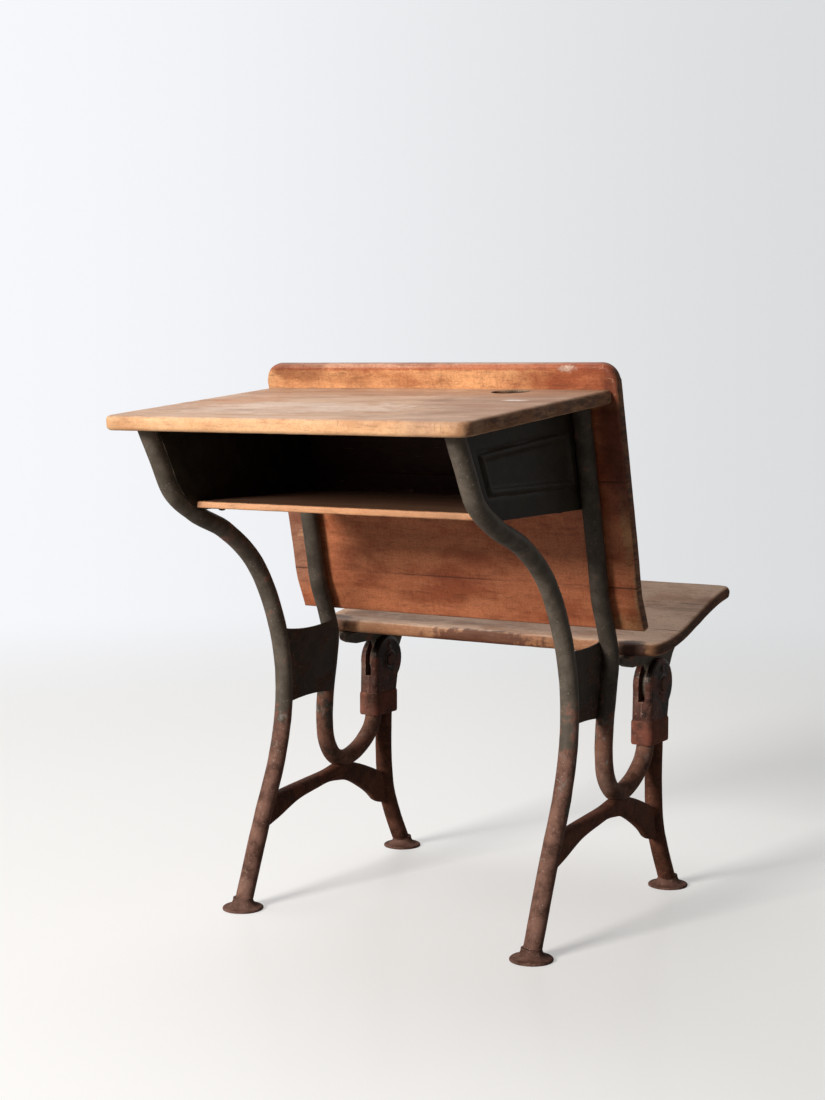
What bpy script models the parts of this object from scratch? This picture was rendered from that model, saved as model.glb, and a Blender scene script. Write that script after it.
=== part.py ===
"""School desk on two bent-tube side frames: a sloping top over a book box, and a seat that folds up.

Metres, +Z up. The student at the desk faces +Y, and so does the one who sits on the seat behind its back.
The origin is on the floor, under the middle of the whole desk.
"""
import math
from dataclasses import dataclass

import bmesh
import bpy
import numpy as np
from mathutils import Matrix, Vector

# Fits
FIT_GAP = 0.0003
OVERRUN = 0.030
MERGE_DISTANCE = 0.00001
FLAT_DEG = 0.5

# Side frames
FRAME_SPACING = 0.455
FOOT_SPACING = 0.4275
TUBE_RADIUS = 0.0127
PIVOT_HEIGHT = 0.3055
PIVOT_AHEAD = 0.008
COLLAR_SHARE = 0.831
TUBE_SPACE = 0.004
TUBE_SIDES_LEVEL = 4
TURN_DEG = 7.5
PATH_STEPS = 5

# Desktop
DESK_HEIGHT = 0.723
DESK_TILT_DEG = 4.9
DESK_THICKNESS = 0.0195
DESK_OVERHANG = 0.041
DESK_SIDE_REACH = 0.0395
DESK_CORNER = 0.010
DESK_ROUND = 0.0045
DESK_JOINT_SHARE = 0.52
INK_HOLE_RADIUS = 0.0255
INK_HOLE_X = 0.141
INK_HOLE_INSET = 0.036
INK_HOLE_STEPS = 32

# Places along the desk leg from its foot up: shares of FOOT_SPACING and of DESK_HEIGHT
DESK_LEG_SHARES = (
    (0.000, 0.000), (0.123, 0.172), (0.203, 0.276), (0.245, 0.386), (0.243, 0.455), (0.182, 0.578),
    (0.085, 0.668), (-0.073, 0.737), (-0.228, 0.775), (-0.336, 0.817), (-0.395, 0.876), (-0.459, 0.941),
    (-0.519, 1.000),
)
# Places along the back post from its top down: shares of FOOT_SPACING and of the rise from pivot to back
POST_UPPER_SHARES = (
    (0.275, 1.000), (0.366, 0.653), (0.427, 0.413), (0.453, 0.302), (0.499, 0.203), (0.526, 0.119),
    (0.516, 0.051),
)
# Places along the post's U bend: shares of FOOT_SPACING and of the height of the collar's lower edge
POST_LOWER_SHARES = (
    (0.490, 1.206), (0.485, 1.062), (0.501, 0.888), (0.549, 0.785), (0.610, 0.757), (0.675, 0.783),
    (0.735, 0.841), (0.780, 0.917),
)
# Places along the seat leg down from the collar: shares of FOOT_SPACING and of the collar's lower edge
SEAT_LEG_SHARES = (
    (0.863, 0.755), (0.868, 0.597), (0.883, 0.436), (0.916, 0.288), (0.961, 0.127), (1.000, 0.000),
)

# Feet
FOOT_RADIUS = 0.0295
FOOT_HEIGHT = 0.014
FOOT_EDGE = 0.0045
FOOT_ROUND = 0.0012
FOOT_NECK_MARGIN = 0.0045
FOOT_STEPS = 24

# Arch brace: shares of the way from desk leg to seat leg, and of the collar's lower edge
ARCH_TOP_SHARES = (
    (0.000, 0.647), (0.058, 0.667), (0.130, 0.678), (0.300, 0.696), (0.469, 0.714), (0.582, 0.737),
    (0.647, 0.727), (0.756, 0.690), (0.875, 0.633), (1.000, 0.556),
)
ARCH_BOTTOM_SHARES = (
    (0.000, 0.459), (0.102, 0.510), (0.229, 0.580), (0.388, 0.618), (0.481, 0.633), (0.555, 0.625),
    (0.646, 0.592), (0.779, 0.476), (0.845, 0.400), (0.881, 0.365), (1.000, 0.334),
)
ARCH_THICKNESS = 0.020
ARCH_ROUND = 0.006

# Web plate between desk leg and post
WEB_BOTTOM_SHARE = 0.908
WEB_HEIGHT = 0.106
WEB_THICKNESS = 0.004
WEB_TOP_SAG = 0.006
WEB_BOTTOM_RISE = 0.004
PLATE_LAP = 0.007

# Book box
SHELF_DROP = 0.1555
SHELF_THICKNESS = 0.010
SHELF_ROUND = 0.002
PANEL_THICKNESS = 0.0025
FLANGE_WIDTH = 0.022
BEAD_WIDTH = 0.006
BEAD_HEIGHT = 0.0016
BEAD_INSET = 0.030
BEAD_TOP_INSET = 0.044

# Seat back
BACK_RISE = 0.0287
BACK_CLEARANCE = 0.015
BACK_SIDE_REACH = 0.0485
BACK_THICKNESS = 0.0185
BACK_CORNER = 0.024
BACK_ROUND = 0.006
BACK_JOINT_SHARES = (0.424, 0.817)

# Seat
SEAT_SIDE_REACH = 0.0515
SEAT_DEPTH = 0.268
SEAT_THICKNESS = 0.0185
SEAT_STAND = 0.0533
SEAT_RISE = 0.057
SEAT_SWEEP_GAP = 0.008
SEAT_CORNER = 0.010
SEAT_ROUND = 0.005
SEAT_JOINT_SHARES = (0.33, 0.67)
SEAT_FOLD_DEG = 75.0
# Underside from the rear edge forward: shares of SEAT_DEPTH and of SEAT_RISE
SEAT_SHARES = (
    (0.00, 0.00), (0.16, 0.03), (0.34, 0.17), (0.54, 0.45), (0.68, 0.66), (0.81, 0.83), (1.00, 1.00),
)

# Knuckle, collar and hinge pin
HUB_RADIUS = 0.027
HEAD_WALL = 0.0105
HEAD_ROUND = 0.006
HEAD_START_DEG = -45.0
HEAD_END_DEG = 190.0
SHANK_WALL = 0.0025
SLOT_WIDTH = 0.010
SLOT_FLOOR = 0.0045
SLOT_REAR_SHARE = 0.78
SLOT_FRONT_SHARE = 0.40
COLLAR_HEIGHT = 0.034
COLLAR_DROP = 0.048
COLLAR_WALL = 0.0016
PIN_RADIUS = 0.006
PIN_HEAD_LIP = 0.003
PIN_HEAD_HEIGHT = 0.003
STOP_RADIUS = 0.003
STOP_HEAD_LIP = 0.0015
STOP_HEAD_HEIGHT = 0.0012
STOP_EDGE = 0.0048
STOP_PLAY_DEG = 3.0
PIN_STEPS = 20

# Seat arm, whose hub turns in the knuckle's slot
ARM_FLANGE_WIDTH = 0.034
ARM_FLANGE_THICKNESS = 0.004
ARM_FLANGE_ROUND = 0.001
ARM_REACH_SHARE = 0.84
ARM_SWEEP_GAP = 0.0018
ARM_REAR_TANGENT_DEG = 135.0
ARM_FRONT_TANGENT_DEG = -20.0
# Lobe behind the neck: shares of the seat's setback, and of the rise from neck to flange
LOBE_SHARES = (
    (-0.23, 0.00), (-0.48, -0.02), (-0.74, 0.00), (-0.93, 0.24), (-1.05, 0.62), (-1.06, 0.95),
)
# Front edge from the top down: shares of the arm's reach ahead of the pivot, and of its rise above it
ARM_FRONT_SHARES = ((1.00, 1.00), (0.90, 0.87), (0.70, 0.65), (0.51, 0.43), (0.39, 0.20), (0.31, 0.03))

# Fasteners
SCREW_RADIUS = 0.0022
SCREW_HEAD_RADIUS = 0.0046
SCREW_HEAD_HEIGHT = 0.0026
SCREW_BITE_SHARE = 0.7
BOLT_RADIUS = 0.003
BOLT_HEAD_RADIUS = 0.008
BOLT_HEAD_HEIGHT = 0.003
BOLT_BITE_SHARE = 0.55
HEAD_EDGE_SHARE = 0.35
HEAD_CROWN_SHARE = 0.62
SPOT_DEPTH = 0.0006
FASTENER_STEPS = 12
DESK_SCREW_SHARES = (0.28, 0.76)
SHELF_SCREW_SHARES = (0.15, 0.80)
SEAT_SCREW_SHARES = (0.165, 0.50, 0.76)
BACK_BOLT_SHARES = (0.245, 0.62, 0.915)

# Worked out from the sizes above
FRAME_X = FRAME_SPACING / 2
TUBE_FIT = TUBE_RADIUS + FIT_GAP
INNER_FACE = FRAME_X - TUBE_FIT
TUBE_PITCH = 2 * TUBE_RADIUS + TUBE_SPACE
BACK_TOP = DESK_HEIGHT + BACK_RISE
DESK_TILT = math.radians(DESK_TILT_DEG)
DESK_RUN = np.array((math.cos(DESK_TILT), math.sin(DESK_TILT)))
DESK_UP = np.array((-math.sin(DESK_TILT), math.cos(DESK_TILT)))
SHELF_HEIGHT = DESK_HEIGHT - SHELF_DROP
SHELF_SEAT = SHELF_HEIGHT - FIT_GAP
COLLAR_Y = COLLAR_SHARE * FOOT_SPACING
COLLAR_TOP = PIVOT_HEIGHT - COLLAR_DROP
COLLAR_BOTTOM = COLLAR_TOP - COLLAR_HEIGHT
PIVOT_Y = COLLAR_Y + PIVOT_AHEAD
PIVOT = (PIVOT_Y, PIVOT_HEIGHT)
HEAD_RADIUS = HUB_RADIUS + HEAD_WALL
HEAD_THICKNESS = 2 * (TUBE_FIT + SHANK_WALL)
SHANK_WIDTH = HEAD_THICKNESS + TUBE_PITCH
SLOT_RADIUS = HUB_RADIUS + 2 * FIT_GAP
SLOT_REAR_DROP = SLOT_REAR_SHARE * SLOT_RADIUS
SLOT_FRONT_DROP = SLOT_FRONT_SHARE * SLOT_RADIUS
TUBE_TOP = PIVOT_HEIGHT - SLOT_RADIUS - SLOT_FLOOR
ARM_THICKNESS = SLOT_WIDTH - 2 * FIT_GAP
STOP_OFFSET = HUB_RADIUS - STOP_EDGE

# Finishes: colour, roughness, metallic
FINISHES = {
    "frame_paint": ((0.030, 0.031, 0.027, 1.0), 0.55, 0.6),
    "rusty_paint": ((0.110, 0.052, 0.036, 1.0), 0.75, 0.4),
    "desk_wood": ((0.520, 0.300, 0.165, 1.0), 0.50, 0.0),
    "back_wood": ((0.330, 0.120, 0.045, 1.0), 0.45, 0.0),
    "seat_wood": ((0.300, 0.190, 0.120, 1.0), 0.55, 0.0),
    "worn_steel": ((0.180, 0.150, 0.130, 1.0), 0.50, 0.9),
}


@dataclass
class Piece:
    """One separate part: its object and finish, and whether it folds with the seat and has a twin."""

    obj: bpy.types.Object
    finish: str
    folds: bool = False
    paired: bool = True


def clear_scene():
    """Remove what the scene holds."""
    for obj in list(bpy.data.objects):
        bpy.data.objects.remove(obj, do_unlink=True)


def new_collection(name):
    """Add a collection to the scene."""
    collection = bpy.data.collections.new(name)
    bpy.context.scene.collection.children.link(collection)
    return collection


def finish_named(name):
    """Material of a finish, made the first time it is asked for."""
    if name in bpy.data.materials:
        return bpy.data.materials[name]
    colour, roughness, metallic = FINISHES[name]
    material = bpy.data.materials.new(name)
    material.use_nodes = True
    shader = material.node_tree.nodes["Principled BSDF"]
    shader.inputs["Base Color"].default_value = colour
    shader.inputs["Roughness"].default_value = roughness
    shader.inputs["Metallic"].default_value = metallic
    return material


# Lines in the plane of a side frame, as arrays of (y, z) points
def smooth_line(points, start_run=None, end_run=None):
    """Line that runs smoothly through the points, with the runs asked for at its ends."""
    points = np.array(points, dtype=float)
    spans = np.linalg.norm(np.diff(points, axis=0), axis=1)
    rates = np.diff(points, axis=0) / spans[:, None]
    tangents = np.empty_like(points)
    tangents[0] = rates[0] if start_run is None else start_run
    tangents[-1] = rates[-1] if end_run is None else end_run
    for i in range(1, len(points) - 1):
        before, after = spans[i - 1], spans[i]
        tangents[i] = (rates[i - 1] * after + rates[i] * before) / (before + after)
    line = [points[0]]
    for i, span in enumerate(spans):
        for t in np.linspace(0.0, 1.0, PATH_STEPS + 1)[1:]:
            start = (2 * t**3 - 3 * t**2 + 1) * points[i] + (t**3 - 2 * t**2 + t) * span * tangents[i]
            end = (3 * t**2 - 2 * t**3) * points[i + 1] + (t**3 - t**2) * span * tangents[i + 1]
            line.append(start + end)
    return np.array(line)


def thinned(line):
    """The line with only its ends and the points where it has turned enough since the last one kept."""
    runs = np.diff(line, axis=0)
    angles = np.unwrap(np.arctan2(runs[:, 1], runs[:, 0]))
    kept = [0]
    for i in range(1, len(line) - 1):
        if abs(angles[i] - angles[kept[-1]]) >= math.radians(TURN_DEG):
            kept.append(i)
    return line[kept + [len(line) - 1]]


def lengths_along(line):
    """Distance of each point from the line's start, measured along it."""
    return np.concatenate(([0.0], np.cumsum(np.linalg.norm(np.diff(line, axis=0), axis=1))))


def left_normals(line):
    """Unit vectors to the left of the line's run, at each point."""
    runs = np.gradient(line, lengths_along(line), axis=0)
    runs /= np.linalg.norm(runs, axis=1)[:, None]
    return np.stack((-runs[:, 1], runs[:, 0]), axis=1)


def beside(line, distance):
    """The line moved to its left by a distance."""
    return line + distance * left_normals(line)


def spot_along(line, distance):
    """Point on the line and its left normal, at a distance along it."""
    marks = lengths_along(line)
    normals = left_normals(line)
    point = np.array([np.interp(distance, marks, line[:, k]) for k in range(2)])
    normal = np.array([np.interp(distance, marks, normals[:, k]) for k in range(2)])
    return point, normal / np.linalg.norm(normal)


def rising(line):
    """The line from its low end to its high end."""
    return line if line[-1, 1] > line[0, 1] else line[::-1]


def place_at(line, height):
    """The line's y at a height, for a line that only rises or only falls."""
    return float(np.interp(height, rising(line)[:, 1], rising(line)[:, 0]))


def stretch(line, low, high):
    """The part of a line between two heights, from its low end to its high end."""
    inside = [point for point in rising(line) if low < point[1] < high]
    return np.array([(place_at(line, low), low), *inside, (place_at(line, high), high)])


def shared(pairs, length, base, height):
    """Points from pairs of shares: y of a length, and z of a height above a base."""
    return [(y * length, base + z * height) for y, z in pairs]


def arc(centre, radius, start_deg, end_deg, steps):
    """Points on an arc about a centre."""
    angles = np.radians(np.linspace(start_deg, end_deg, steps + 1))
    return [(centre[0] + radius * math.cos(a), centre[1] + radius * math.sin(a)) for a in angles]


def in_space(x, place):
    """Point in space from x and a (y, z) place."""
    return (x, float(place[0]), float(place[1]))


# Centre lines of the tubes
def desk_leg_line():
    """Centre line of the desk leg, from the floor up past the desktop."""
    return thinned(smooth_line(shared(DESK_LEG_SHARES, FOOT_SPACING, 0.0, DESK_HEIGHT)))


def post_line():
    """Centre line of the back post: down behind the back, round the U and up into the collar."""
    upper = shared(POST_UPPER_SHARES, FOOT_SPACING, PIVOT_HEIGHT, BACK_TOP - PIVOT_HEIGHT)
    lower = shared(POST_LOWER_SHARES, FOOT_SPACING, 0.0, COLLAR_BOTTOM)
    end_y = COLLAR_Y - TUBE_PITCH / 2
    bend = smooth_line(upper + lower + [(end_y, COLLAR_BOTTOM)], end_run=(0.0, 1.0))
    return np.vstack((thinned(bend), (end_y, TUBE_TOP)))


def seat_leg_line():
    """Centre line of the seat leg, from the floor up into the knuckle."""
    top_y = COLLAR_Y + TUBE_PITCH / 2
    lower = shared(SEAT_LEG_SHARES, FOOT_SPACING, 0.0, COLLAR_BOTTOM)[::-1]
    bend = smooth_line(lower + [(top_y, COLLAR_BOTTOM)], end_run=(0.0, 1.0))
    return np.vstack((thinned(bend), (top_y, TUBE_TOP)))


def falling_post():
    """The part of the post's line that falls from its top to the bottom of the U."""
    line = post_line()
    return line[: int(np.argmin(line[:, 1])) + 1]


# Lines of the wooden parts
def back_face():
    """Rear face of the back, from its top down."""
    return beside(stretch(falling_post(), PIVOT_HEIGHT, BACK_TOP)[::-1], TUBE_FIT)


def back_line():
    """The part of the post's line that carries the back, from the top down."""
    seat_top = PIVOT_HEIGHT + SEAT_STAND + SEAT_THICKNESS
    return stretch(falling_post(), seat_top + BACK_CLEARANCE, BACK_TOP)[::-1]


def underside_height(y):
    """Height of the desktop's underside at a place."""
    far_y = place_at(back_face(), DESK_HEIGHT)
    return DESK_HEIGHT - DESK_THICKNESS / DESK_RUN[0] - (far_y - y) * math.tan(DESK_TILT)


def meeting_height(line, drop):
    """Height at which a line meets the desktop's underside lowered by a drop."""
    height = DESK_HEIGHT
    for _ in range(8):
        height = underside_height(place_at(line, height)) - drop
    return height


def desk_line():
    """Underside of the desktop, from its near edge to its far edge against the back."""
    leg = desk_leg_line()
    near_y = place_at(leg, meeting_height(leg, 0.0)) - DESK_OVERHANG
    far_top = np.array((place_at(back_face(), DESK_HEIGHT) - FIT_GAP, DESK_HEIGHT))
    far = far_top - DESK_UP * DESK_THICKNESS
    near = far - DESK_RUN * (far[0] - near_y) / DESK_RUN[0]
    return np.array((near, far))


def seat_setback():
    """How far the seat's rear edge lies behind the pivot, so that it just clears the post as it folds."""
    reach = PIVOT_Y - place_at(falling_post(), PIVOT_HEIGHT) - TUBE_RADIUS - SEAT_SWEEP_GAP
    return math.sqrt(reach**2 - (SEAT_STAND + SEAT_THICKNESS) ** 2)


def seat_line():
    """Underside of the seat, from its rear edge forward."""
    rear_y = PIVOT_Y - seat_setback()
    points = shared(SEAT_SHARES, SEAT_DEPTH, PIVOT_HEIGHT + SEAT_STAND, SEAT_RISE)
    return thinned(smooth_line([(rear_y + y, z) for y, z in points]))


# Meshes
def link(obj, name):
    """Give an object its name and put it in the parts' collection."""
    obj.name = name
    obj.data.name = name
    PARTS.objects.link(obj)
    return obj


def bake(obj):
    """Turn an object with its modifiers into a plain welded mesh, its turn applied and its origin kept."""
    bpy.context.view_layer.update()
    evaluated = obj.evaluated_get(bpy.context.evaluated_depsgraph_get())
    mesh = bpy.data.meshes.new_from_object(evaluated)
    place, turn, _ = obj.matrix_world.decompose()
    edit = bmesh.new()
    edit.from_mesh(mesh)
    edit.transform(turn.to_matrix().to_4x4())
    bmesh.ops.remove_doubles(edit, verts=edit.verts, dist=MERGE_DISTANCE)
    bmesh.ops.recalc_face_normals(edit, faces=edit.faces)
    edit.to_mesh(mesh)
    edit.free()
    name = obj.name
    bpy.data.objects.remove(obj, do_unlink=True)
    baked = link(bpy.data.objects.new(name, mesh), name)
    baked.location = place
    return baked


def combine(target, tool, operation="DIFFERENCE"):
    """Cut, join or intersect the target with a tool, and remove the tool."""
    modifier = target.modifiers.new("Boolean", "BOOLEAN")
    modifier.operation = operation
    modifier.object = tool
    target = bake(target)
    bpy.data.objects.remove(tool, do_unlink=True)
    return target


def split_faces(obj):
    """Cut every face into triangles, so that a bent board's faces are flat."""
    edit = bmesh.new()
    edit.from_mesh(obj.data)
    bmesh.ops.triangulate(edit, faces=edit.faces)
    edit.to_mesh(obj.data)
    edit.free()


def merge_flats(obj):
    """Join the triangles of each flat face into one face."""
    edit = bmesh.new()
    edit.from_mesh(obj.data)
    bmesh.ops.dissolve_limit(edit, angle_limit=math.radians(FLAT_DEG), verts=edit.verts, edges=edit.edges)
    edit.to_mesh(obj.data)
    edit.free()


def round_edges(obj, width, segments=2, angle_deg=40.0):
    """Bevel the edges that turn more than an angle, and bake."""
    merge_flats(obj)
    modifier = obj.modifiers.new("Bevel", "BEVEL")
    modifier.width = width
    modifier.segments = segments
    modifier.limit_method = "ANGLE"
    modifier.angle_limit = math.radians(angle_deg)
    return bake(obj)


def flat_curve(name, outlines, thickness):
    """Flat curve object filled between its outlines and as thick as asked, in its own XY plane."""
    curve = bpy.data.curves.new(name, "CURVE")
    curve.dimensions = "2D"
    curve.fill_mode = "BOTH"
    curve.extrude = thickness / 2
    for outline in outlines:
        spline = curve.splines.new("POLY")
        spline.points.add(len(outline) - 1)
        for point, place in zip(spline.points, outline):
            point.co = (place[0], place[1], 0.0, 1.0)
        spline.use_cyclic_u = True
    return link(bpy.data.objects.new(name, curve), name)


def frame_plate(name, outlines, low_x, high_x):
    """Plate parallel to the side frames between two x, from outlines in (y, z)."""
    plate = flat_curve(name, outlines, high_x - low_x)
    plate.rotation_euler = (math.pi / 2, 0.0, math.pi / 2)
    plate.location = ((low_x + high_x) / 2, 0.0, 0.0)
    return bake(plate)


def frame_tube(name, line, radius):
    """Round bar along a line in the plane of the right-hand frame."""
    curve = bpy.data.curves.new(name, "CURVE")
    curve.dimensions = "3D"
    curve.bevel_depth = radius
    curve.bevel_resolution = TUBE_SIDES_LEVEL
    curve.use_fill_caps = True
    spline = curve.splines.new("POLY")
    spline.points.add(len(line) - 1)
    for point, place in zip(spline.points, line):
        point.co = (*in_space(0.0, place), 1.0)
    tube = link(bpy.data.objects.new(name, curve), name)
    tube.location = (FRAME_X, 0.0, 0.0)
    return bake(tube)


def tube_nest(line):
    """Cutter that leaves a fit gap round a tube and past its top."""
    longer = line.copy()
    longer[-1, 1] += FIT_GAP
    return frame_tube("tube_nest", longer, TUBE_FIT)


def aimed(obj, place, direction):
    """Stand an object at a place, with its own Z axis along a direction."""
    obj.location = place
    obj.rotation_euler = Vector(direction).to_track_quat("Z", "Y").to_euler()
    return bake(obj)


def cylinder(name, radius, low, high, place, direction, steps=PIN_STEPS):
    """Cylinder between two distances from a place along a direction."""
    mesh = bpy.data.meshes.new(name)
    edit = bmesh.new()
    depth = high - low
    bmesh.ops.create_cone(edit, cap_ends=True, segments=steps, radius1=radius, radius2=radius, depth=depth)
    bmesh.ops.translate(edit, vec=(0.0, 0.0, (low + high) / 2), verts=edit.verts)
    edit.to_mesh(mesh)
    edit.free()
    return aimed(link(bpy.data.objects.new(name, mesh), name), place, direction)


def turned(name, profile, steps, place, direction=(0.0, 0.0, 1.0)):
    """Turned solid from (radius, height) points, top first, standing at a place along a direction."""
    mesh = bpy.data.meshes.new(name)
    edges = [(i, i + 1) for i in range(len(profile) - 1)]
    mesh.from_pydata([(radius, 0.0, height) for radius, height in profile], edges, [])
    obj = link(bpy.data.objects.new(name, mesh), name)
    modifier = obj.modifiers.new("Screw", "SCREW")
    modifier.steps = steps
    modifier.render_steps = steps
    modifier.use_merge_vertices = True
    modifier.merge_threshold = MERGE_DISTANCE
    return aimed(obj, place, direction)


def trim(obj, place, normal):
    """Cut off what lies beyond a plane, on the side its normal points to, and close the cut."""
    edit = bmesh.new()
    edit.from_mesh(obj.data)
    here = Vector(place) - obj.location
    everything = list(edit.verts) + list(edit.edges) + list(edit.faces)
    bmesh.ops.bisect_plane(edit, geom=everything, plane_co=here, plane_no=Vector(normal), clear_outer=True)
    rim = [edge for edge in edit.edges if edge.is_boundary]
    bmesh.ops.holes_fill(edit, edges=rim, sides=0)
    bmesh.ops.recalc_face_normals(edit, faces=edit.faces)
    edit.to_mesh(obj.data)
    edit.free()
    return obj


def mirrored(obj, name):
    """Twin of an object on the other side of the desk."""
    mesh = obj.data.copy()
    edit = bmesh.new()
    edit.from_mesh(mesh)
    bmesh.ops.scale(edit, vec=(-1.0, 1.0, 1.0), verts=edit.verts)
    bmesh.ops.reverse_faces(edit, faces=edit.faces)
    edit.to_mesh(mesh)
    edit.free()
    twin = link(bpy.data.objects.new(name, mesh), name)
    twin.location = (-obj.location[0], obj.location[1], obj.location[2])
    return twin


# Boards, sawn from a flat panel and bent along a line
def rounded_outline(width, length, near_corner, far_corner):
    """Outline about x = 0 from y = 0 to y = length, with its corners rounded at either end."""
    half = width / 2
    near, far = near_corner, far_corner
    outline = arc((half - near, near), near, -90.0, 0.0, 5) if near else [(half, 0.0)]
    outline += arc((half - far, length - far), far, 0.0, 90.0, 5) if far else [(half, length)]
    outline += arc((far - half, length - far), far, 90.0, 180.0, 5) if far else [(-half, length)]
    outline += arc((near - half, near), near, 180.0, 270.0, 5) if near else [(-half, 0.0)]
    return outline


def panel_blank(width, length, thickness, corners, edge_round, segments=3):
    """Flat panel with rounded edges, its lower face at z = 0."""
    panel = flat_curve("panel_blank", [rounded_outline(width, length, *corners)], thickness)
    panel.location = (0.0, 0.0, thickness / 2)
    return round_edges(bake(panel), edge_round, segments)


def sawn_board(name, panel, start, end, line, lift):
    """Saw a board out of a panel between two marks and bend it along a line, its lower face at a lift."""
    edit = bmesh.new()
    edit.from_mesh(panel.data)
    edit.transform(Matrix.Translation(panel.location))
    along = Vector((0.0, 1.0, 0.0))
    for mark in lengths_along(line)[1:-1]:
        if start < mark < end:
            everything = list(edit.verts) + list(edit.edges) + list(edit.faces)
            bmesh.ops.bisect_plane(edit, geom=everything, plane_co=along * mark, plane_no=along)
    mesh = bpy.data.meshes.new(name)
    edit.to_mesh(mesh)
    edit.free()
    board = link(bpy.data.objects.new(name, mesh), name)
    trim(board, along * start, -along)
    trim(board, along * end, along)
    for vertex in board.data.vertices:
        x, along_line, height = vertex.co
        point, normal = spot_along(line, along_line)
        vertex.co = in_space(x, point + normal * (height + lift))
    return board


def sawn_boards(names, panel, joint_shares, line, lift=0.0):
    """Boards of one panel side by side along a line, a fit gap apart at the joints."""
    joints = [share * lengths_along(line)[-1] for share in joint_shares]
    starts = [-OVERRUN] + [joint + FIT_GAP / 2 for joint in joints]
    ends = [joint - FIT_GAP / 2 for joint in joints] + [lengths_along(line)[-1] + OVERRUN]
    made = [sawn_board(name, panel, start, end, line, lift) for name, start, end in zip(names, starts, ends)]
    bpy.data.objects.remove(panel, do_unlink=True)
    return made


# Pieces of the right-hand frame
def make_tubes(pieces):
    """Desk leg, back post and seat leg, cut to the desktop's slope and to the feet."""
    ceiling = in_space(0.0, desk_line()[0] - DESK_UP * FIT_GAP)
    foot_top = (0.0, 0.0, FOOT_HEIGHT + FIT_GAP)
    leg = frame_tube("desk_leg", desk_leg_line(), TUBE_RADIUS)
    post = frame_tube("back_post", post_line(), TUBE_RADIUS)
    seat_leg = frame_tube("seat_leg", seat_leg_line(), TUBE_RADIUS)
    for tube in (leg, post):
        trim(tube, ceiling, in_space(0.0, DESK_UP))
    for tube in (leg, seat_leg):
        trim(tube, foot_top, (0.0, 0.0, -1.0))
    pieces["desk_leg"] = Piece(leg, "frame_paint")
    pieces["back_post"] = Piece(post, "frame_paint")
    pieces["seat_leg"] = Piece(seat_leg, "rusty_paint")


def make_feet(pieces):
    """Round floor flanges, dished up to the leg that stands on them."""
    neck = TUBE_RADIUS + FOOT_NECK_MARGIN
    dish = FOOT_RADIUS - FOOT_ROUND - neck
    rise = FOOT_HEIGHT - FOOT_EDGE
    profile = [(0.0, FOOT_HEIGHT), (neck, FOOT_HEIGHT)]
    for angle in np.radians((30, 60)):
        profile.append((neck + dish * (1 - math.cos(angle)), FOOT_HEIGHT - rise * math.sin(angle)))
    profile += [(FOOT_RADIUS - FOOT_ROUND, FOOT_EDGE), (FOOT_RADIUS, FOOT_EDGE - FOOT_ROUND)]
    profile += [(FOOT_RADIUS, 0.0), (0.0, 0.0)]
    for name, line in (("desk_foot", desk_leg_line()), ("seat_foot", seat_leg_line())):
        place = (FRAME_X, place_at(line, FOOT_HEIGHT / 2), 0.0)
        pieces[name] = Piece(turned(name, profile, FOOT_STEPS, place), "rusty_paint")


def between_legs(pairs):
    """Points from pairs of shares: the way from desk leg to seat leg, and the collar's lower edge."""
    points = []
    for across, up in pairs:
        height = up * COLLAR_BOTTOM
        start, end = place_at(desk_leg_line(), height), place_at(seat_leg_line(), height)
        points.append((start + across * (end - start), height))
    return points


def make_arch(pieces):
    """Arch that ties the two legs and carries the bend of the post."""
    top = thinned(smooth_line(between_legs(ARCH_TOP_SHARES)))
    bottom = thinned(smooth_line(between_legs(ARCH_BOTTOM_SHARES)))
    half = ARCH_THICKNESS / 2
    arch = frame_plate("arch_brace", [np.vstack((top[::-1], bottom))], FRAME_X - half, FRAME_X + half)
    arch = round_edges(arch, ARCH_ROUND, angle_deg=60.0)
    for line in (desk_leg_line(), post_line(), seat_leg_line()):
        arch = combine(arch, tube_nest(line))
    pieces["arch_brace"] = Piece(arch, "rusty_paint")


def sagging(start, end, sag):
    """Points from start to end on a shallow curve that hangs by a sag, or rises by a negative one."""
    shares = np.linspace(0.0, 1.0, 7)
    return [np.add(start, np.subtract(end, start) * t) - (0.0, 4 * sag * t * (1 - t)) for t in shares]


def make_web(pieces):
    """Stiffening plate on the inner side of desk leg and post."""
    low = WEB_BOTTOM_SHARE * PIVOT_HEIGHT
    high = low + WEB_HEIGHT
    leg = stretch(desk_leg_line(), low, high)
    post = stretch(beside(falling_post(), PLATE_LAP), low, high)
    outline = sagging(leg[0], post[0], -WEB_BOTTOM_RISE) + list(post[1:-1])
    outline += sagging(post[-1], leg[-1], WEB_TOP_SAG) + list(leg[-2:0:-1])
    web = frame_plate("web_plate", [outline], INNER_FACE - WEB_THICKNESS, INNER_FACE)
    pieces["web_plate"] = Piece(web, "frame_paint")


def box_outline(leg_inset, post_inset, low, drop):
    """Outline between desk leg and post, from a height up to a drop below the desktop."""
    base = SHELF_HEIGHT - BEAD_INSET - BEAD_WIDTH
    leg = beside(stretch(desk_leg_line(), base, DESK_HEIGHT), -leg_inset)
    post = beside(stretch(falling_post(), base, BACK_TOP), post_inset)
    left = stretch(leg, low, meeting_height(leg, drop))
    right = stretch(post, low, meeting_height(post, drop))
    return np.vstack((left[::-1], right))


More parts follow.
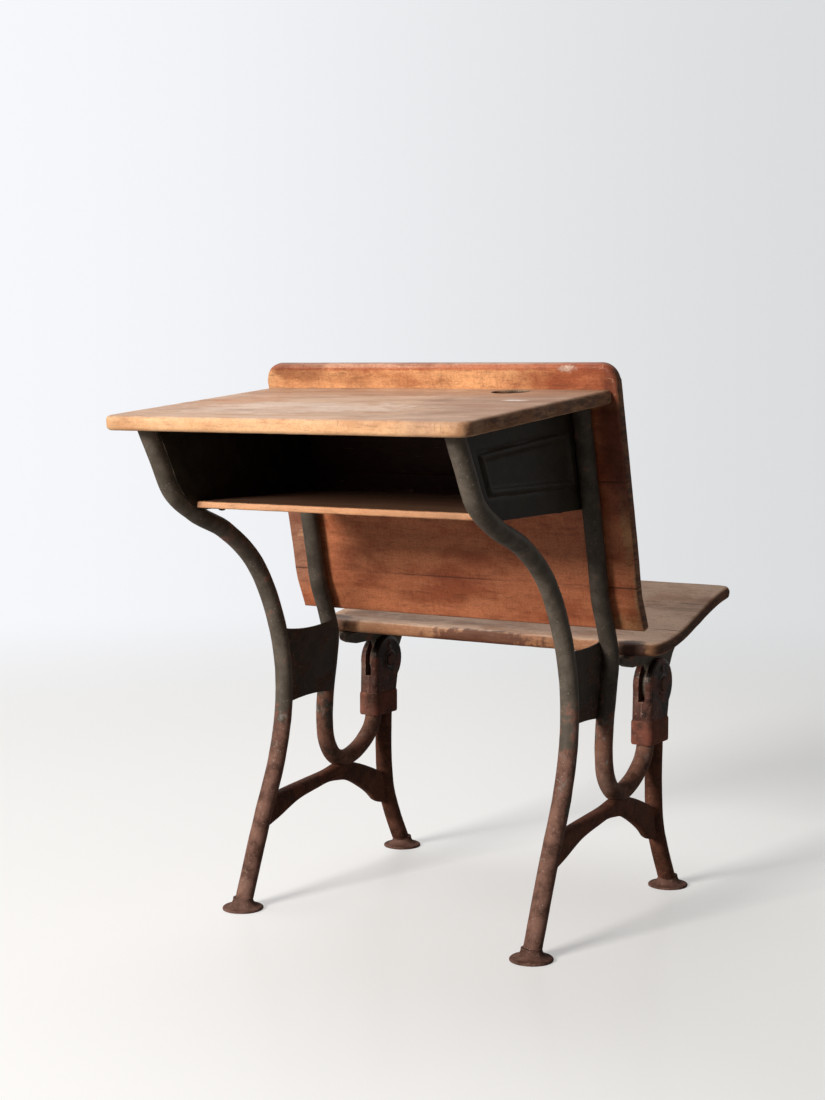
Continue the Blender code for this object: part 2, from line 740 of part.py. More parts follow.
def make_box_side(pieces):
    """Pressed side of the book box: a sheet with a raised bead, and a flange above and below."""
    low = SHELF_SEAT - PANEL_THICKNESS
    gap = FIT_GAP / DESK_RUN[0]
    outline = box_outline(0.0, -PLATE_LAP, low, gap)
    side = frame_plate("box_side", [outline], INNER_FACE - FLANGE_WIDTH, INNER_FACE)
    hollow = box_outline(-OVERRUN, -PLATE_LAP - OVERRUN, SHELF_SEAT, gap + PANEL_THICKNESS)
    hollow_x = INNER_FACE - FLANGE_WIDTH - OVERRUN
    side = combine(side, frame_plate("hollow", [hollow], hollow_x, INNER_FACE - PANEL_THICKNESS))
    outer = box_outline(BEAD_INSET, BEAD_INSET, low + BEAD_INSET, BEAD_TOP_INSET)
    inset = BEAD_INSET + BEAD_WIDTH
    inner = box_outline(inset, inset, low + inset, BEAD_TOP_INSET + BEAD_WIDTH)
    middle_x = INNER_FACE - PANEL_THICKNESS / 2
    bead = frame_plate("bead", [outer, inner], middle_x, INNER_FACE + BEAD_HEIGHT)
    pieces["box_side"] = Piece(combine(side, bead, "UNION"), "frame_paint")


def slot_outline():
    """Outline of the knuckle's slot: round under the hub, open above, behind and in front."""
    front = math.degrees(math.asin(SLOT_FRONT_SHARE))
    rear = math.degrees(math.asin(SLOT_REAR_SHARE))
    outline = arc(PIVOT, SLOT_RADIUS, -front, rear - 180.0, 14)
    reach = HEAD_RADIUS + OVERRUN
    rear_y, front_y, top = PIVOT_Y - reach, PIVOT_Y + reach, PIVOT_HEIGHT + reach
    outline += [(rear_y, PIVOT_HEIGHT - SLOT_REAR_DROP), (rear_y, top)]
    outline += [(front_y, top), (front_y, PIVOT_HEIGHT - SLOT_FRONT_DROP)]
    return outline


def make_knuckle(pieces):
    """Two halves that clasp the tube ends and hold the seat arm's hub in a slot between them."""
    half_width, half_depth = SHANK_WIDTH / 2, HEAD_THICKNESS / 2
    foot = COLLAR_BOTTOM - 2 * HEAD_ROUND
    outline = arc(PIVOT, HEAD_RADIUS, HEAD_START_DEG, HEAD_END_DEG, 22)
    outline += [(COLLAR_Y - half_width, COLLAR_TOP), (COLLAR_Y - half_width, foot)]
    outline += [(COLLAR_Y + half_width, foot), (COLLAR_Y + half_width, COLLAR_TOP)]
    block = frame_plate("knuckle", [outline], FRAME_X - half_depth, FRAME_X + half_depth)
    block = round_edges(block, HEAD_ROUND, segments=3, angle_deg=60.0)
    trim(block, (0.0, 0.0, COLLAR_BOTTOM), (0.0, 0.0, -1.0))
    half_slot = SLOT_WIDTH / 2
    block = combine(block, frame_plate("slot", [slot_outline()], FRAME_X - half_slot, FRAME_X + half_slot))
    for line in (post_line(), seat_leg_line()):
        block = combine(block, tube_nest(line))
    for rise, radius in ((0.0, PIN_RADIUS), (STOP_OFFSET, STOP_RADIUS)):
        place = (FRAME_X, PIVOT_Y, PIVOT_HEIGHT + rise)
        bore = cylinder("bore", radius + FIT_GAP, -HEAD_THICKNESS, HEAD_THICKNESS, place, (1.0, 0.0, 0.0))
        block = combine(block, bore)
    for name, side in (("knuckle_inner", -1), ("knuckle_outer", 1)):
        half = link(bpy.data.objects.new(name, block.data.copy()), name)
        half.location = block.location
        trim(half, (FRAME_X + side * FIT_GAP / 2, 0.0, 0.0), (-side, 0.0, 0.0))
        pieces[name] = Piece(half, "rusty_paint")
    bpy.data.objects.remove(block, do_unlink=True)


def make_collar(pieces):
    """Band driven over the knuckle's shank, which holds the two tubes together."""
    outlines = []
    for clearance in (FIT_GAP + COLLAR_WALL, FIT_GAP):
        width, length = HEAD_THICKNESS + 2 * clearance, SHANK_WIDTH + 2 * clearance
        corner = HEAD_ROUND + clearance
        outlines.append([(x, y - length / 2) for x, y in rounded_outline(width, length, corner, corner)])
    collar = flat_curve("collar", outlines, COLLAR_HEIGHT)
    collar.location = (FRAME_X, COLLAR_Y, (COLLAR_TOP + COLLAR_BOTTOM) / 2)
    pieces["collar"] = Piece(bake(collar), "rusty_paint")


def make_pins(pieces):
    """Hinge pin and stop rivet, each with a head on either side of the knuckle."""
    kinds = {
        "hinge_pin": (0.0, PIN_RADIUS, PIN_HEAD_LIP, PIN_HEAD_HEIGHT),
        "stop_rivet": (STOP_OFFSET, STOP_RADIUS, STOP_HEAD_LIP, STOP_HEAD_HEIGHT),
    }
    for name, (rise, radius, lip, height) in kinds.items():
        seat = HEAD_THICKNESS / 2 + FIT_GAP
        head = radius + lip
        upper = [(0.0, seat + height), (head - lip / 2, seat + height), (head, seat + height / 2)]
        upper += [(head, seat), (radius, seat)]
        profile = upper + [(r, -x) for r, x in reversed(upper)]
        place = (FRAME_X, PIVOT_Y, PIVOT_HEIGHT + rise)
        pieces[name] = Piece(turned(name, profile, PIN_STEPS, place, (1.0, 0.0, 0.0)), "worn_steel")


# Pieces that fold
def neck_height():
    """Height above the pivot of the arm's lower edge, which passes the knuckle's shank as the seat folds."""
    fold = math.radians(SEAT_FOLD_DEG)
    back = PIVOT_Y - COLLAR_Y + SHANK_WIDTH / 2
    return back * math.sin(fold) - SLOT_REAR_DROP * math.cos(fold) + ARM_SWEEP_GAP


def arm_reach():
    """Length of the arm's flange, measured along the seat's underside."""
    return ARM_REACH_SHARE * lengths_along(seat_line())[-1]


def arm_outline():
    """Outline of the arm's upright plate: flange line, front edge, hub and rear lobe."""
    depth = FIT_GAP + ARM_FLANGE_THICKNESS / 2
    first, last = ARM_FLANGE_THICKNESS, arm_reach() - ARM_FLANGE_THICKNESS
    marks = [first] + [mark for mark in lengths_along(seat_line()) if first < mark < last] + [last]
    top = [point - normal * depth for point, normal in (spot_along(seat_line(), mark) for mark in marks)]
    reach = top[-1] - PIVOT
    front = shared(ARM_FRONT_SHARES, reach[0], PIVOT_HEIGHT, reach[1])
    front = thinned(smooth_line([(PIVOT_Y + y, z) for y, z in front]))
    hub = arc(PIVOT, HUB_RADIUS, ARM_FRONT_TANGENT_DEG, ARM_REAR_TANGENT_DEG - 360.0, 18)
    neck = neck_height()
    lobe = shared(LOBE_SHARES, seat_setback(), PIVOT_HEIGHT + neck, SEAT_STAND - depth - neck)
    lobe = thinned(smooth_line([(PIVOT_Y + y, z) for y, z in lobe]))
    return top[:-1] + list(front) + hub + list(lobe)


def stop_slot():
    """Outline of the arc slot in the arm that the stop rivet runs in."""
    start, end = 90.0 + STOP_PLAY_DEG, 90.0 - SEAT_FOLD_DEG - STOP_PLAY_DEG
    half = STOP_RADIUS + FIT_GAP
    ends = [arc(PIVOT, STOP_OFFSET, angle, angle, 1)[0] for angle in (start, end)]
    outline = arc(PIVOT, STOP_OFFSET + half, start, end, 12)
    outline += arc(ends[1], half, end, end - 180.0, 6)[1:-1]
    outline += arc(PIVOT, STOP_OFFSET - half, end, start, 12)
    outline += arc(ends[0], half, start - 180.0, start - 360.0, 6)[1:-1]
    return outline


def make_arm(pieces):
    """Seat arm: an upright plate with its hub in the knuckle, under a flange screwed to the seat."""
    bore = arc(PIVOT, PIN_RADIUS + FIT_GAP, 0.0, 360.0, PIN_STEPS)[:-1]
    half = ARM_THICKNESS / 2
    arm = frame_plate("seat_arm", [arm_outline(), bore, stop_slot()], FRAME_X - half, FRAME_X + half)
    corners = (ARM_FLANGE_WIDTH / 4, ARM_FLANGE_WIDTH / 4)
    blank = panel_blank(ARM_FLANGE_WIDTH, arm_reach(), ARM_FLANGE_THICKNESS, corners, ARM_FLANGE_ROUND, 1)
    lift = -FIT_GAP - ARM_FLANGE_THICKNESS
    flange = sawn_boards(["flange"], blank, [], seat_line(), lift)[0]
    flange.location = (FRAME_X, 0.0, 0.0)
    split_faces(flange)
    pieces["seat_arm"] = Piece(combine(arm, flange, "UNION"), "rusty_paint", folds=True)


# Wooden parts
def make_desktop(pieces):
    """Two boards of the sloping top, the far one with the ink-well hole."""
    line = desk_line()
    length = lengths_along(line)[-1]
    width = FRAME_SPACING + 2 * DESK_SIDE_REACH
    panel = panel_blank(width, length, DESK_THICKNESS, (DESK_CORNER, 0.0), DESK_ROUND)
    near, far = sawn_boards(["desktop_near", "desktop_far"], panel, [DESK_JOINT_SHARE], line)
    centre = line[1] - DESK_RUN * INK_HOLE_INSET
    hole = cylinder(
        "ink_hole", INK_HOLE_RADIUS, -OVERRUN, DESK_THICKNESS + OVERRUN,
        in_space(INK_HOLE_X, centre), in_space(0.0, DESK_UP), INK_HOLE_STEPS,
    )
    pieces["desktop_near"] = Piece(near, "desk_wood", paired=False)
    pieces["desktop_far"] = Piece(combine(far, hole), "desk_wood", paired=False)


def shelf_span():
    """Where the shelf starts, at the desk leg, and where it ends, at the back."""
    front = place_at(desk_leg_line(), SHELF_HEIGHT)
    return front, place_at(back_face(), SHELF_HEIGHT + SHELF_THICKNESS) - FIT_GAP


def make_shelf(pieces):
    """Floor of the book box, which lies on the flanges of its two sides."""
    front, rear = shelf_span()
    width = 2 * (INNER_FACE - PANEL_THICKNESS - FIT_GAP)
    line = np.array(((front, SHELF_HEIGHT), (rear, SHELF_HEIGHT)))
    panel = panel_blank(width, rear - front, SHELF_THICKNESS, (0.0, 0.0), SHELF_ROUND, 2)
    pieces["book_shelf"] = Piece(sawn_boards(["book_shelf"], panel, [], line)[0], "desk_wood", paired=False)


def make_back(pieces):
    """Three boards of the back, bent to the line of the posts."""
    width = FRAME_SPACING + 2 * BACK_SIDE_REACH
    length = lengths_along(back_line())[-1]
    panel = panel_blank(width, length, BACK_THICKNESS, (BACK_CORNER, 0.0), BACK_ROUND)
    names = ["back_top", "back_middle", "back_bottom"]
    for name, board in zip(names, sawn_boards(names, panel, BACK_JOINT_SHARES, back_line(), TUBE_FIT)):
        pieces[name] = Piece(board, "back_wood", paired=False)


def make_seat(pieces):
    """Three boards of the seat, dished along the seat's line."""
    width = FRAME_SPACING + 2 * SEAT_SIDE_REACH
    length = lengths_along(seat_line())[-1]
    panel = panel_blank(width, length, SEAT_THICKNESS, (SEAT_CORNER, SEAT_CORNER), SEAT_ROUND)
    names = ["seat_rear", "seat_middle", "seat_front"]
    for name, board in zip(names, sawn_boards(names, panel, SEAT_JOINT_SHARES, seat_line())):
        pieces[name] = Piece(board, "seat_wood", folds=True, paired=False)


# Fasteners
def drill(pieces, names, radius, depth, place, direction):
    """Drill the named pieces from outside to a depth, at both sides where a piece spans the desk."""
    for name in names:
        for sign in (1,) if pieces[name].paired else (1, -1):
            start = (sign * place[0], place[1], place[2])
            tool = cylinder("drill", radius, -OVERRUN, depth, start, direction, FASTENER_STEPS)
            pieces[name].obj = combine(pieces[name].obj, tool)


def fasten(pieces, name, through, sizes, length, place, direction, spot=0.0, folds=False):
    """Drive a screw or bolt through the named pieces, its head on the first, let in there by a spot face."""
    radius, head, height = sizes
    place = tuple(Vector(place) + spot * Vector(direction))
    profile = [(0.0, length), (radius, length), (radius, -FIT_GAP), (head, -FIT_GAP)]
    profile += [(head, -FIT_GAP - HEAD_EDGE_SHARE * height), (HEAD_CROWN_SHARE * head, -FIT_GAP - height)]
    profile += [(0.0, -FIT_GAP - height)]
    drill(pieces, through, radius + FIT_GAP, length + FIT_GAP, place, direction)
    if spot:
        drill(pieces, through[:1], head + FIT_GAP, 0.0, place, direction)
    made = turned(name, profile, FASTENER_STEPS, place, direction)
    pieces[name] = Piece(made, "worn_steel", folds=folds)


def add_screws(pieces):
    """Screws from below: flanges to desktop, flanges to shelf, and arms to seat."""
    sizes = (SCREW_RADIUS, SCREW_HEAD_RADIUS, SCREW_HEAD_HEIGHT)
    flange_x = INNER_FACE - FLANGE_WIDTH / 2
    plate = PANEL_THICKNESS + FIT_GAP
    up = in_space(0.0, DESK_UP)
    length = plate + SCREW_BITE_SHARE * DESK_THICKNESS
    for share, board in zip(DESK_SCREW_SHARES, ("desktop_near", "desktop_far")):
        point = desk_line()[0] + share * (desk_line()[1] - desk_line()[0]) - DESK_UP * plate
        name = f"screw_{board}"
        fasten(pieces, name, ("box_side", board), sizes, length, in_space(flange_x, point), up)
    front, rear = shelf_span()
    length = plate + SCREW_BITE_SHARE * SHELF_THICKNESS
    for share, label in zip(SHELF_SCREW_SHARES, ("near", "far")):
        place = (flange_x, front + share * (rear - front), SHELF_SEAT - PANEL_THICKNESS)
        name = f"screw_shelf_{label}"
        fasten(pieces, name, ("box_side", "book_shelf"), sizes, length, place, (0.0, 0.0, 1.0))
    plate = ARM_FLANGE_THICKNESS + FIT_GAP
    length = plate + SCREW_BITE_SHARE * SEAT_THICKNESS
    beside_plate = (ARM_THICKNESS + ARM_FLANGE_WIDTH) / 4
    for share, board in zip(SEAT_SCREW_SHARES, ("seat_rear", "seat_middle", "seat_front")):
        point, normal = spot_along(seat_line(), share * lengths_along(seat_line())[-1])
        place = in_space(FRAME_X - beside_plate, point - normal * plate)
        up = in_space(0.0, normal)
        name = f"screw_{board}"
        fasten(pieces, name, ("seat_arm", board), sizes, length, place, up, SPOT_DEPTH, folds=True)


def add_bolts(pieces):
    """Bolts from the front of the back into the posts."""
    sizes = (BOLT_RADIUS, BOLT_HEAD_RADIUS, BOLT_HEAD_HEIGHT)
    length = BACK_THICKNESS + FIT_GAP + BOLT_BITE_SHARE * 2 * TUBE_RADIUS
    for share, board in zip(BACK_BOLT_SHARES, ("back_top", "back_middle", "back_bottom")):
        point, normal = spot_along(back_line(), share * lengths_along(back_line())[-1])
        place = in_space(FRAME_X, point + normal * (TUBE_FIT + BACK_THICKNESS))
        inward = in_space(0.0, -normal)
        fasten(pieces, f"bolt_{board}", (board, "back_post"), sizes, length, place, inward, SPOT_DEPTH)


# The whole desk
def new_empty(name, place, parent=None):
    """Empty that carries pieces."""
    empty = bpy.data.objects.new(name, None)
    empty.location = place
    empty.parent = parent
    PARTS.objects.link(empty)
    return empty


def middle_y(pieces):
    """Middle of the desk's depth, over all its pieces."""
    places = [piece.obj.location[1] + v.co[1] for piece in pieces.values() for v in piece.obj.data.vertices]
    return (min(places) + max(places)) / 2


def place_pieces(pieces):
    """Twin the paired pieces, finish all of them and hang them on the desk's origin or on the hinge axis."""
    origin = new_empty("school_desk_origin", (0.0, -middle_y(pieces), 0.0))
    hinge = new_empty("seat_hinge_axis", (0.0, PIVOT_Y, PIVOT_HEIGHT), origin)
    for name, piece in pieces.items():
        twins = [piece.obj]
        if piece.paired:
            twins = [mirrored(piece.obj, f"{name}_left"), piece.obj]
            piece.obj.name = piece.obj.data.name = f"{name}_right"
        for obj in twins:
            obj.data.materials.clear()
            obj.data.materials.append(finish_named(piece.finish))
            obj.data.shade_smooth()
            obj.data.set_sharp_from_angle(angle=math.radians(35.0))
            obj.parent = hinge if piece.folds else origin
            if piece.folds:
                obj.location -= hinge.location


def main():
    """Build the desk."""
    pieces = {}
    makers = (
        make_tubes, make_feet, make_arch, make_web, make_box_side, make_knuckle, make_collar, make_pins,
        make_arm, make_desktop, make_shelf, make_back, make_seat, add_screws, add_bolts,
    )
    for make in makers:
        make(pieces)
    place_pieces(pieces)
    bpy.context.view_layer.update()


clear_scene()
PARTS = new_collection("school_desk")
main()
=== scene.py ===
"""Old school desk: smooth tubes, worn boards, pressed and cast ironwork and their finishes.

Metres, +Z up. The student at the desk faces +Y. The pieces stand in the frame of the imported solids,
and each one that stands for a solid keeps that solid's place.
"""

import logging
import math
from dataclasses import dataclass
from enum import Enum

import bmesh
import bpy
import numpy as np
from mathutils import Matrix, Vector, noise


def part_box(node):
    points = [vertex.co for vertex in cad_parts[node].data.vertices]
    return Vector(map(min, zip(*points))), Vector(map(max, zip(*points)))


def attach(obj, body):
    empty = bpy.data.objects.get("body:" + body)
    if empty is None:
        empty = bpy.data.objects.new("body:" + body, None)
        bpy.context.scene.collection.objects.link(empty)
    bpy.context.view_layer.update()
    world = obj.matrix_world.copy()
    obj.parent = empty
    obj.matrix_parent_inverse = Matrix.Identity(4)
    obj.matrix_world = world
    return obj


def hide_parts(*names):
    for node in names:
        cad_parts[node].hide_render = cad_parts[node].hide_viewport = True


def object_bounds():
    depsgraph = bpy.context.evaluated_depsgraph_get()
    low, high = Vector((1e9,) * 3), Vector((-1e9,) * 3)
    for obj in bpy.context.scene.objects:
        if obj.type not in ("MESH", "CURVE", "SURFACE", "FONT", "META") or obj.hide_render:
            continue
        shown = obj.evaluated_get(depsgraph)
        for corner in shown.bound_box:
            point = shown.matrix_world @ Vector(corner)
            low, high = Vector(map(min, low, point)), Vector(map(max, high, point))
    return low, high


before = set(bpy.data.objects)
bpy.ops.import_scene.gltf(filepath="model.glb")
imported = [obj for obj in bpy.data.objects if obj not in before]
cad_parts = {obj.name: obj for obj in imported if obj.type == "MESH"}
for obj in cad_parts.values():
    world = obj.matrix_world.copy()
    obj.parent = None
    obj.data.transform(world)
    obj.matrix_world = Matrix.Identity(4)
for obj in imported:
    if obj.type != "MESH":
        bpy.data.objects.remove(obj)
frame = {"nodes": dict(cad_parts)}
CAD_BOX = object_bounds()

logging.basicConfig(level=logging.INFO, format="%(message)s")
LOG = logging.getLogger("school_desk")

Place = tuple[float, float, float]
Colour = tuple[float, float, float]
Pair = tuple[float, float]
Socket = bpy.types.NodeSocket
Value = float | Socket
Feed = Socket | float | Colour
Feeds = dict[int | str, Feed]
Setting = str | int | bool
Face = tuple[int, ...]
Ends = tuple[float, float, float, float]

# Numbers of the coordinates
X, Y, Z = range(3)


class Side(Enum):
    """The two side frames, by the sign of their x."""

    LEFT = -1
    RIGHT = 1

    @property
    def label(self) -> str:
        """The side's word in the names of the solids."""
        return self.name.lower()


class Body(Enum):
    """The bodies that pieces move with."""

    FRAME = "frame"
    SEAT = "seat"


class Slot(Enum):
    """Names of material slots."""

    PAINT = "frame_paint"
    RUST = "rusty_paint"
    STEEL = "worn_steel"
    DESK = "desk_wood"
    BACK = "back_wood"
    SEAT = "seat_wood"


# Lines in the plane of a side frame, as arrays of (y, z) points
def smooth_line(points: list[Pair], steps: int = 10, end_run: Pair | None = None) -> np.ndarray:
    """Line that runs smoothly through some points.

    Args:
        points: The points, in order.
        steps: How many pieces each stretch between two points is cut into.
        end_run: The direction that the line has at its end, if one is asked for.

    Returns:
        The points of the line.
    """
    knots = np.array(points, dtype=float)
    spans = np.linalg.norm(np.diff(knots, axis=0), axis=1)
    rates = np.diff(knots, axis=0) / spans[:, None]
    tangents = np.empty_like(knots)
    tangents[0] = rates[0]
    tangents[-1] = rates[-1] if end_run is None else end_run
    for i in range(1, len(knots) - 1):
        tangents[i] = (rates[i - 1] * spans[i] + rates[i] * spans[i - 1]) / (spans[i - 1] + spans[i])
    line = [knots[0]]
    for i, span in enumerate(spans):
        for t in np.linspace(0.0, 1.0, steps + 1)[1:]:
            start = (2 * t**3 - 3 * t**2 + 1) * knots[i] + (t**3 - 2 * t**2 + t) * span * tangents[i]
            end = (3 * t**2 - 2 * t**3) * knots[i + 1] + (t**3 - t**2) * span * tangents[i + 1]
            line.append(start + end)
    return np.array(line)


def shared(pairs: tuple[Pair, ...], length: float, base: float, height: float) -> list[Pair]:
    """Points from pairs of shares: y of a length, and z of a height above a base."""
    return [(y * length, base + z * height) for y, z in pairs]


def lengths_along(line: np.ndarray) -> np.ndarray:
    """Distance of each point from the line's start, measured along it."""
    return np.concatenate(([0.0], np.cumsum(np.linalg.norm(np.diff(line, axis=0), axis=1))))


def left_normals(line: np.ndarray) -> np.ndarray:
    """Unit vectors to the left of the line's run, at each point."""
    runs = np.gradient(line, lengths_along(line), axis=0)
    runs /= np.linalg.norm(runs, axis=1)[:, None]
    return np.stack((-runs[:, 1], runs[:, 0]), axis=1)


def rising(line: np.ndarray) -> np.ndarray:
    """The line from its low end to its high end."""
    return line if line[-1, 1] > line[0, 1] else line[::-1]


def place_at(line: np.ndarray, height: float) -> float:
    """The line's y at a height, for a line that only rises or only falls."""
    return float(np.interp(height, rising(line)[:, 1], rising(line)[:, 0]))


def stretch(line: np.ndarray, low: float, high: float) -> np.ndarray:
    """The part of a line between two heights, from its low end to its high end."""
    inside = [point for point in rising(line) if low < point[1] < high]
    return np.array([(place_at(line, low), low), *inside, (place_at(line, high), high)])


@dataclass(frozen=True)
class DeskLines:
    """Sizes of the desk and the lines that its tubes and boards follow, as the solids have them."""

    shift_y: float = -0.145267
    frame_x: float = 0.2275
    foot_spacing: float = 0.4275
    tube_radius: float = 0.0127
    tube_pitch: float = 0.0294
    fit: float = 0.0003
    pivot_height: float = 0.3055
    pivot_ahead: float = 0.008
    collar_y: float = 0.3552525
    collar_bottom: float = 0.2235
    collar_top: float = 0.2575
    tube_top: float = 0.2734
    desk_height: float = 0.723
    desk_thickness: float = 0.0195
    desk_tilt: float = math.radians(4.9)
    desk_overhang: float = 0.041
    back_top: float = 0.7517
    back_clearance: float = 0.015
    seat_depth: float = 0.268
    seat_thickness: float = 0.0185
    seat_stand: float = 0.0533
    seat_rise: float = 0.057
    seat_sweep: float = 0.008
    desk_joints: tuple[float, ...] = (0.52,)
    back_joints: tuple[float, ...] = (0.424, 0.817)
    seat_joints: tuple[float, ...] = (0.33, 0.67)
    leg_shares: tuple[Pair, ...] = (
        (0.000, 0.000), (0.123, 0.172), (0.203, 0.276), (0.245, 0.386), (0.243, 0.455), (0.182, 0.578),
        (0.085, 0.668), (-0.073, 0.737), (-0.228, 0.775), (-0.336, 0.817), (-0.395, 0.876), (-0.459, 0.941),
        (-0.519, 1.000),
    )
    post_upper_shares: tuple[Pair, ...] = (
        (0.275, 1.000), (0.366, 0.653), (0.427, 0.413), (0.453, 0.302), (0.499, 0.203), (0.526, 0.119),
        (0.516, 0.051),
    )
    post_lower_shares: tuple[Pair, ...] = (
        (0.490, 1.206), (0.485, 1.062), (0.501, 0.888), (0.549, 0.785), (0.610, 0.757), (0.675, 0.783),
        (0.735, 0.841), (0.780, 0.917),
    )
    seat_leg_shares: tuple[Pair, ...] = (
        (0.863, 0.755), (0.868, 0.597), (0.883, 0.436), (0.916, 0.288), (0.961, 0.127), (1.000, 0.000),
    )
    seat_shares: tuple[Pair, ...] = (
        (0.00, 0.00), (0.16, 0.03), (0.34, 0.17), (0.54, 0.45), (0.68, 0.66), (0.81, 0.83), (1.00, 1.00),
    )

    @property
    def pivot(self) -> Pair:
        """Centre of the hinge."""
        return (self.collar_y + self.pivot_ahead + self.shift_y, self.pivot_height)

    @property
    def desk_run(self) -> np.ndarray:
        """Direction up the desktop's slope."""
        return np.array((math.cos(self.desk_tilt), math.sin(self.desk_tilt)))

    @property
    def desk_up(self) -> np.ndarray:
        """Direction square to the desktop."""
        return np.array((-math.sin(self.desk_tilt), math.cos(self.desk_tilt)))

    def moved(self, line: np.ndarray) -> np.ndarray:
        """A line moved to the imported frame's origin."""
        return line + np.array((self.shift_y, 0.0))

    def desk_leg(self) -> np.ndarray:
        """Centre line of the desk leg, from the floor up."""
        return self.moved(smooth_line(shared(self.leg_shares, self.foot_spacing, 0.0, self.desk_height)))

    def post(self) -> np.ndarray:
        """Centre line of the back post, round the U and up into the collar."""
        rise = self.back_top - self.pivot_height
        points = shared(self.post_upper_shares, self.foot_spacing, self.pivot_height, rise)
        points += shared(self.post_lower_shares, self.foot_spacing, 0.0, self.collar_bottom)
        end_y = self.collar_y - self.tube_pitch / 2
        bend = smooth_line(points + [(end_y, self.collar_bottom)], end_run=(0.0, 1.0))
        return self.moved(np.vstack((bend, (end_y, self.tube_top))))

    def falling_post(self) -> np.ndarray:
        """The part of the post's line that falls to the bottom of the U."""
        line = self.post()
        return line[: int(np.argmin(line[:, 1])) + 1]

    def seat_leg(self) -> np.ndarray:
        """Centre line of the seat leg, from the floor up into the knuckle."""
        top_y = self.collar_y + self.tube_pitch / 2
        points = shared(self.seat_leg_shares, self.foot_spacing, 0.0, self.collar_bottom)[::-1]
        bend = smooth_line(points + [(top_y, self.collar_bottom)], end_run=(0.0, 1.0))
        return self.moved(np.vstack((bend, (top_y, self.tube_top))))

    def back_face(self) -> np.ndarray:
        """Line of the back's rear face, from its top down."""
        line = stretch(self.falling_post(), self.pivot_height, self.back_top)[::-1]
        return line + (self.tube_radius + self.fit) * left_normals(line)

    def back_line(self) -> np.ndarray:
        """The part of the post's line that carries the back, from its top down."""
        foot = self.pivot_height + self.seat_stand + self.seat_thickness + self.back_clearance
        return stretch(self.falling_post(), foot, self.back_top)[::-1]

    def underside_height(self, y: float) -> float:
        """Height of the desktop's underside at a place."""
        far_y = place_at(self.back_face(), self.desk_height)
        drop = self.desk_thickness / self.desk_run[0]
        return self.desk_height - drop - (far_y - y) * math.tan(self.desk_tilt)

    def meeting_height(self, line: np.ndarray, drop: float) -> float:
        """Height at which a line meets the desktop's underside lowered by a drop."""
        height = self.desk_height
        for _ in range(8):
            height = self.underside_height(place_at(line, height)) - drop
        return height

    def desk_line(self) -> np.ndarray:
        """Underside of the desktop, from its near edge to its far edge."""
        leg = self.desk_leg()
        near_y = place_at(leg, self.meeting_height(leg, 0.0)) - self.desk_overhang
        far_y = place_at(self.back_face(), self.desk_height) - self.fit
        far = np.array((far_y, self.desk_height)) - self.desk_up * self.desk_thickness
        near = far - self.desk_run * (far[0] - near_y) / self.desk_run[0]
        return np.array((near, far))

    def seat_line(self) -> np.ndarray:
        """Underside of the seat, from its rear edge forward."""
        post_y = place_at(self.falling_post(), self.pivot_height)
        reach = self.pivot[0] - post_y - self.tube_radius - self.seat_sweep
        setback = math.sqrt(reach**2 - (self.seat_stand + self.seat_thickness) ** 2)
        base = self.pivot_height + self.seat_stand
        points = shared(self.seat_shares, self.seat_depth, base, self.seat_rise)
        return smooth_line([(self.pivot[0] - setback + y, z) for y, z in points])


LINES = DeskLines()


# Meshes: how close points become one, and the faces of a box whose corners run along z, then y, then x
WELD = 0.00001
BOX_FACES = ((0, 1, 3, 2), (4, 6, 7, 5), (0, 4, 5, 1), (2, 3, 7, 6), (0, 2, 6, 4), (1, 5, 7, 3))


def placed(name: str, data: bpy.types.ID) -> bpy.types.Object:
    """Object in the scene that shows a mesh or a curve, or holds a lamp or a camera."""
    obj = bpy.data.objects.new(name, data)
    bpy.context.scene.collection.objects.link(obj)
    return obj


def mend(mesh: bpy.types.Mesh, weld: float = 0.0) -> None:
    """Join the points of a mesh that are closer than a weld distance, and turn its faces outwards."""
    edit = bmesh.new()
    edit.from_mesh(mesh)
    if weld:
        bmesh.ops.remove_doubles(edit, verts=edit.verts, dist=weld)
    bmesh.ops.recalc_face_normals(edit, faces=edit.faces)
    edit.to_mesh(mesh)
    edit.free()


def new_object(name: str, points: list[Place], faces: list[Face]) -> bpy.types.Object:
    """Object from points and faces.

    Args:
        name: The object's name.
        points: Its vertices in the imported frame.
        faces: Its faces, as indices of vertices.

    Returns:
        The object, in the scene, with smooth faces and sharp edges where it turns.
    """
    mesh = bpy.data.meshes.new(name)
    mesh.from_pydata([tuple(map(float, point)) for point in points], [], faces)
    mend(mesh)
    obj = placed(name, mesh)
    smooth(obj)
    return obj


def ring_faces(rows: int, count: int) -> list[Face]:
    """Faces between rows of points that each run round and close on themselves."""
    faces = []
    for i in range(rows - 1):
        for j in range(count):
            k = (j + 1) % count
            faces.append((i * count + j, i * count + k, (i + 1) * count + k, (i + 1) * count + j))
    return faces


def sheet_faces(rows: int, columns: int, alike: bool = False) -> list[Face]:
    """Faces of a sheet that is closed between two grids of points, one behind the other.

    Args:
        rows: How many rows each grid has.
        columns: How many points each row has.
        alike: Whether the faces behind split along the same diagonal as those in front.

    Returns:
        The faces, those in front first.
    """
    under = rows * columns
    faces = []
    for base in (0, under):
        for i in range(rows - 1):
            for j in range(columns - 1):
                a = base + i * columns + j
                quad = (a, a + 1, a + columns + 1, a + columns)
                if base:
                    quad = quad[:1] + quad[:0:-1] if alike else quad[::-1]
                faces.append(quad)
    rim = list(range(columns)) + [i * columns + columns - 1 for i in range(1, rows)]
    rim += [(rows - 1) * columns + j for j in range(columns - 2, -1, -1)]
    rim += [i * columns for i in range(rows - 2, 0, -1)]
    for a, b in zip(rim, rim[1:] + rim[:1]):
        faces.append((a, a + under, b + under, b))
    return faces


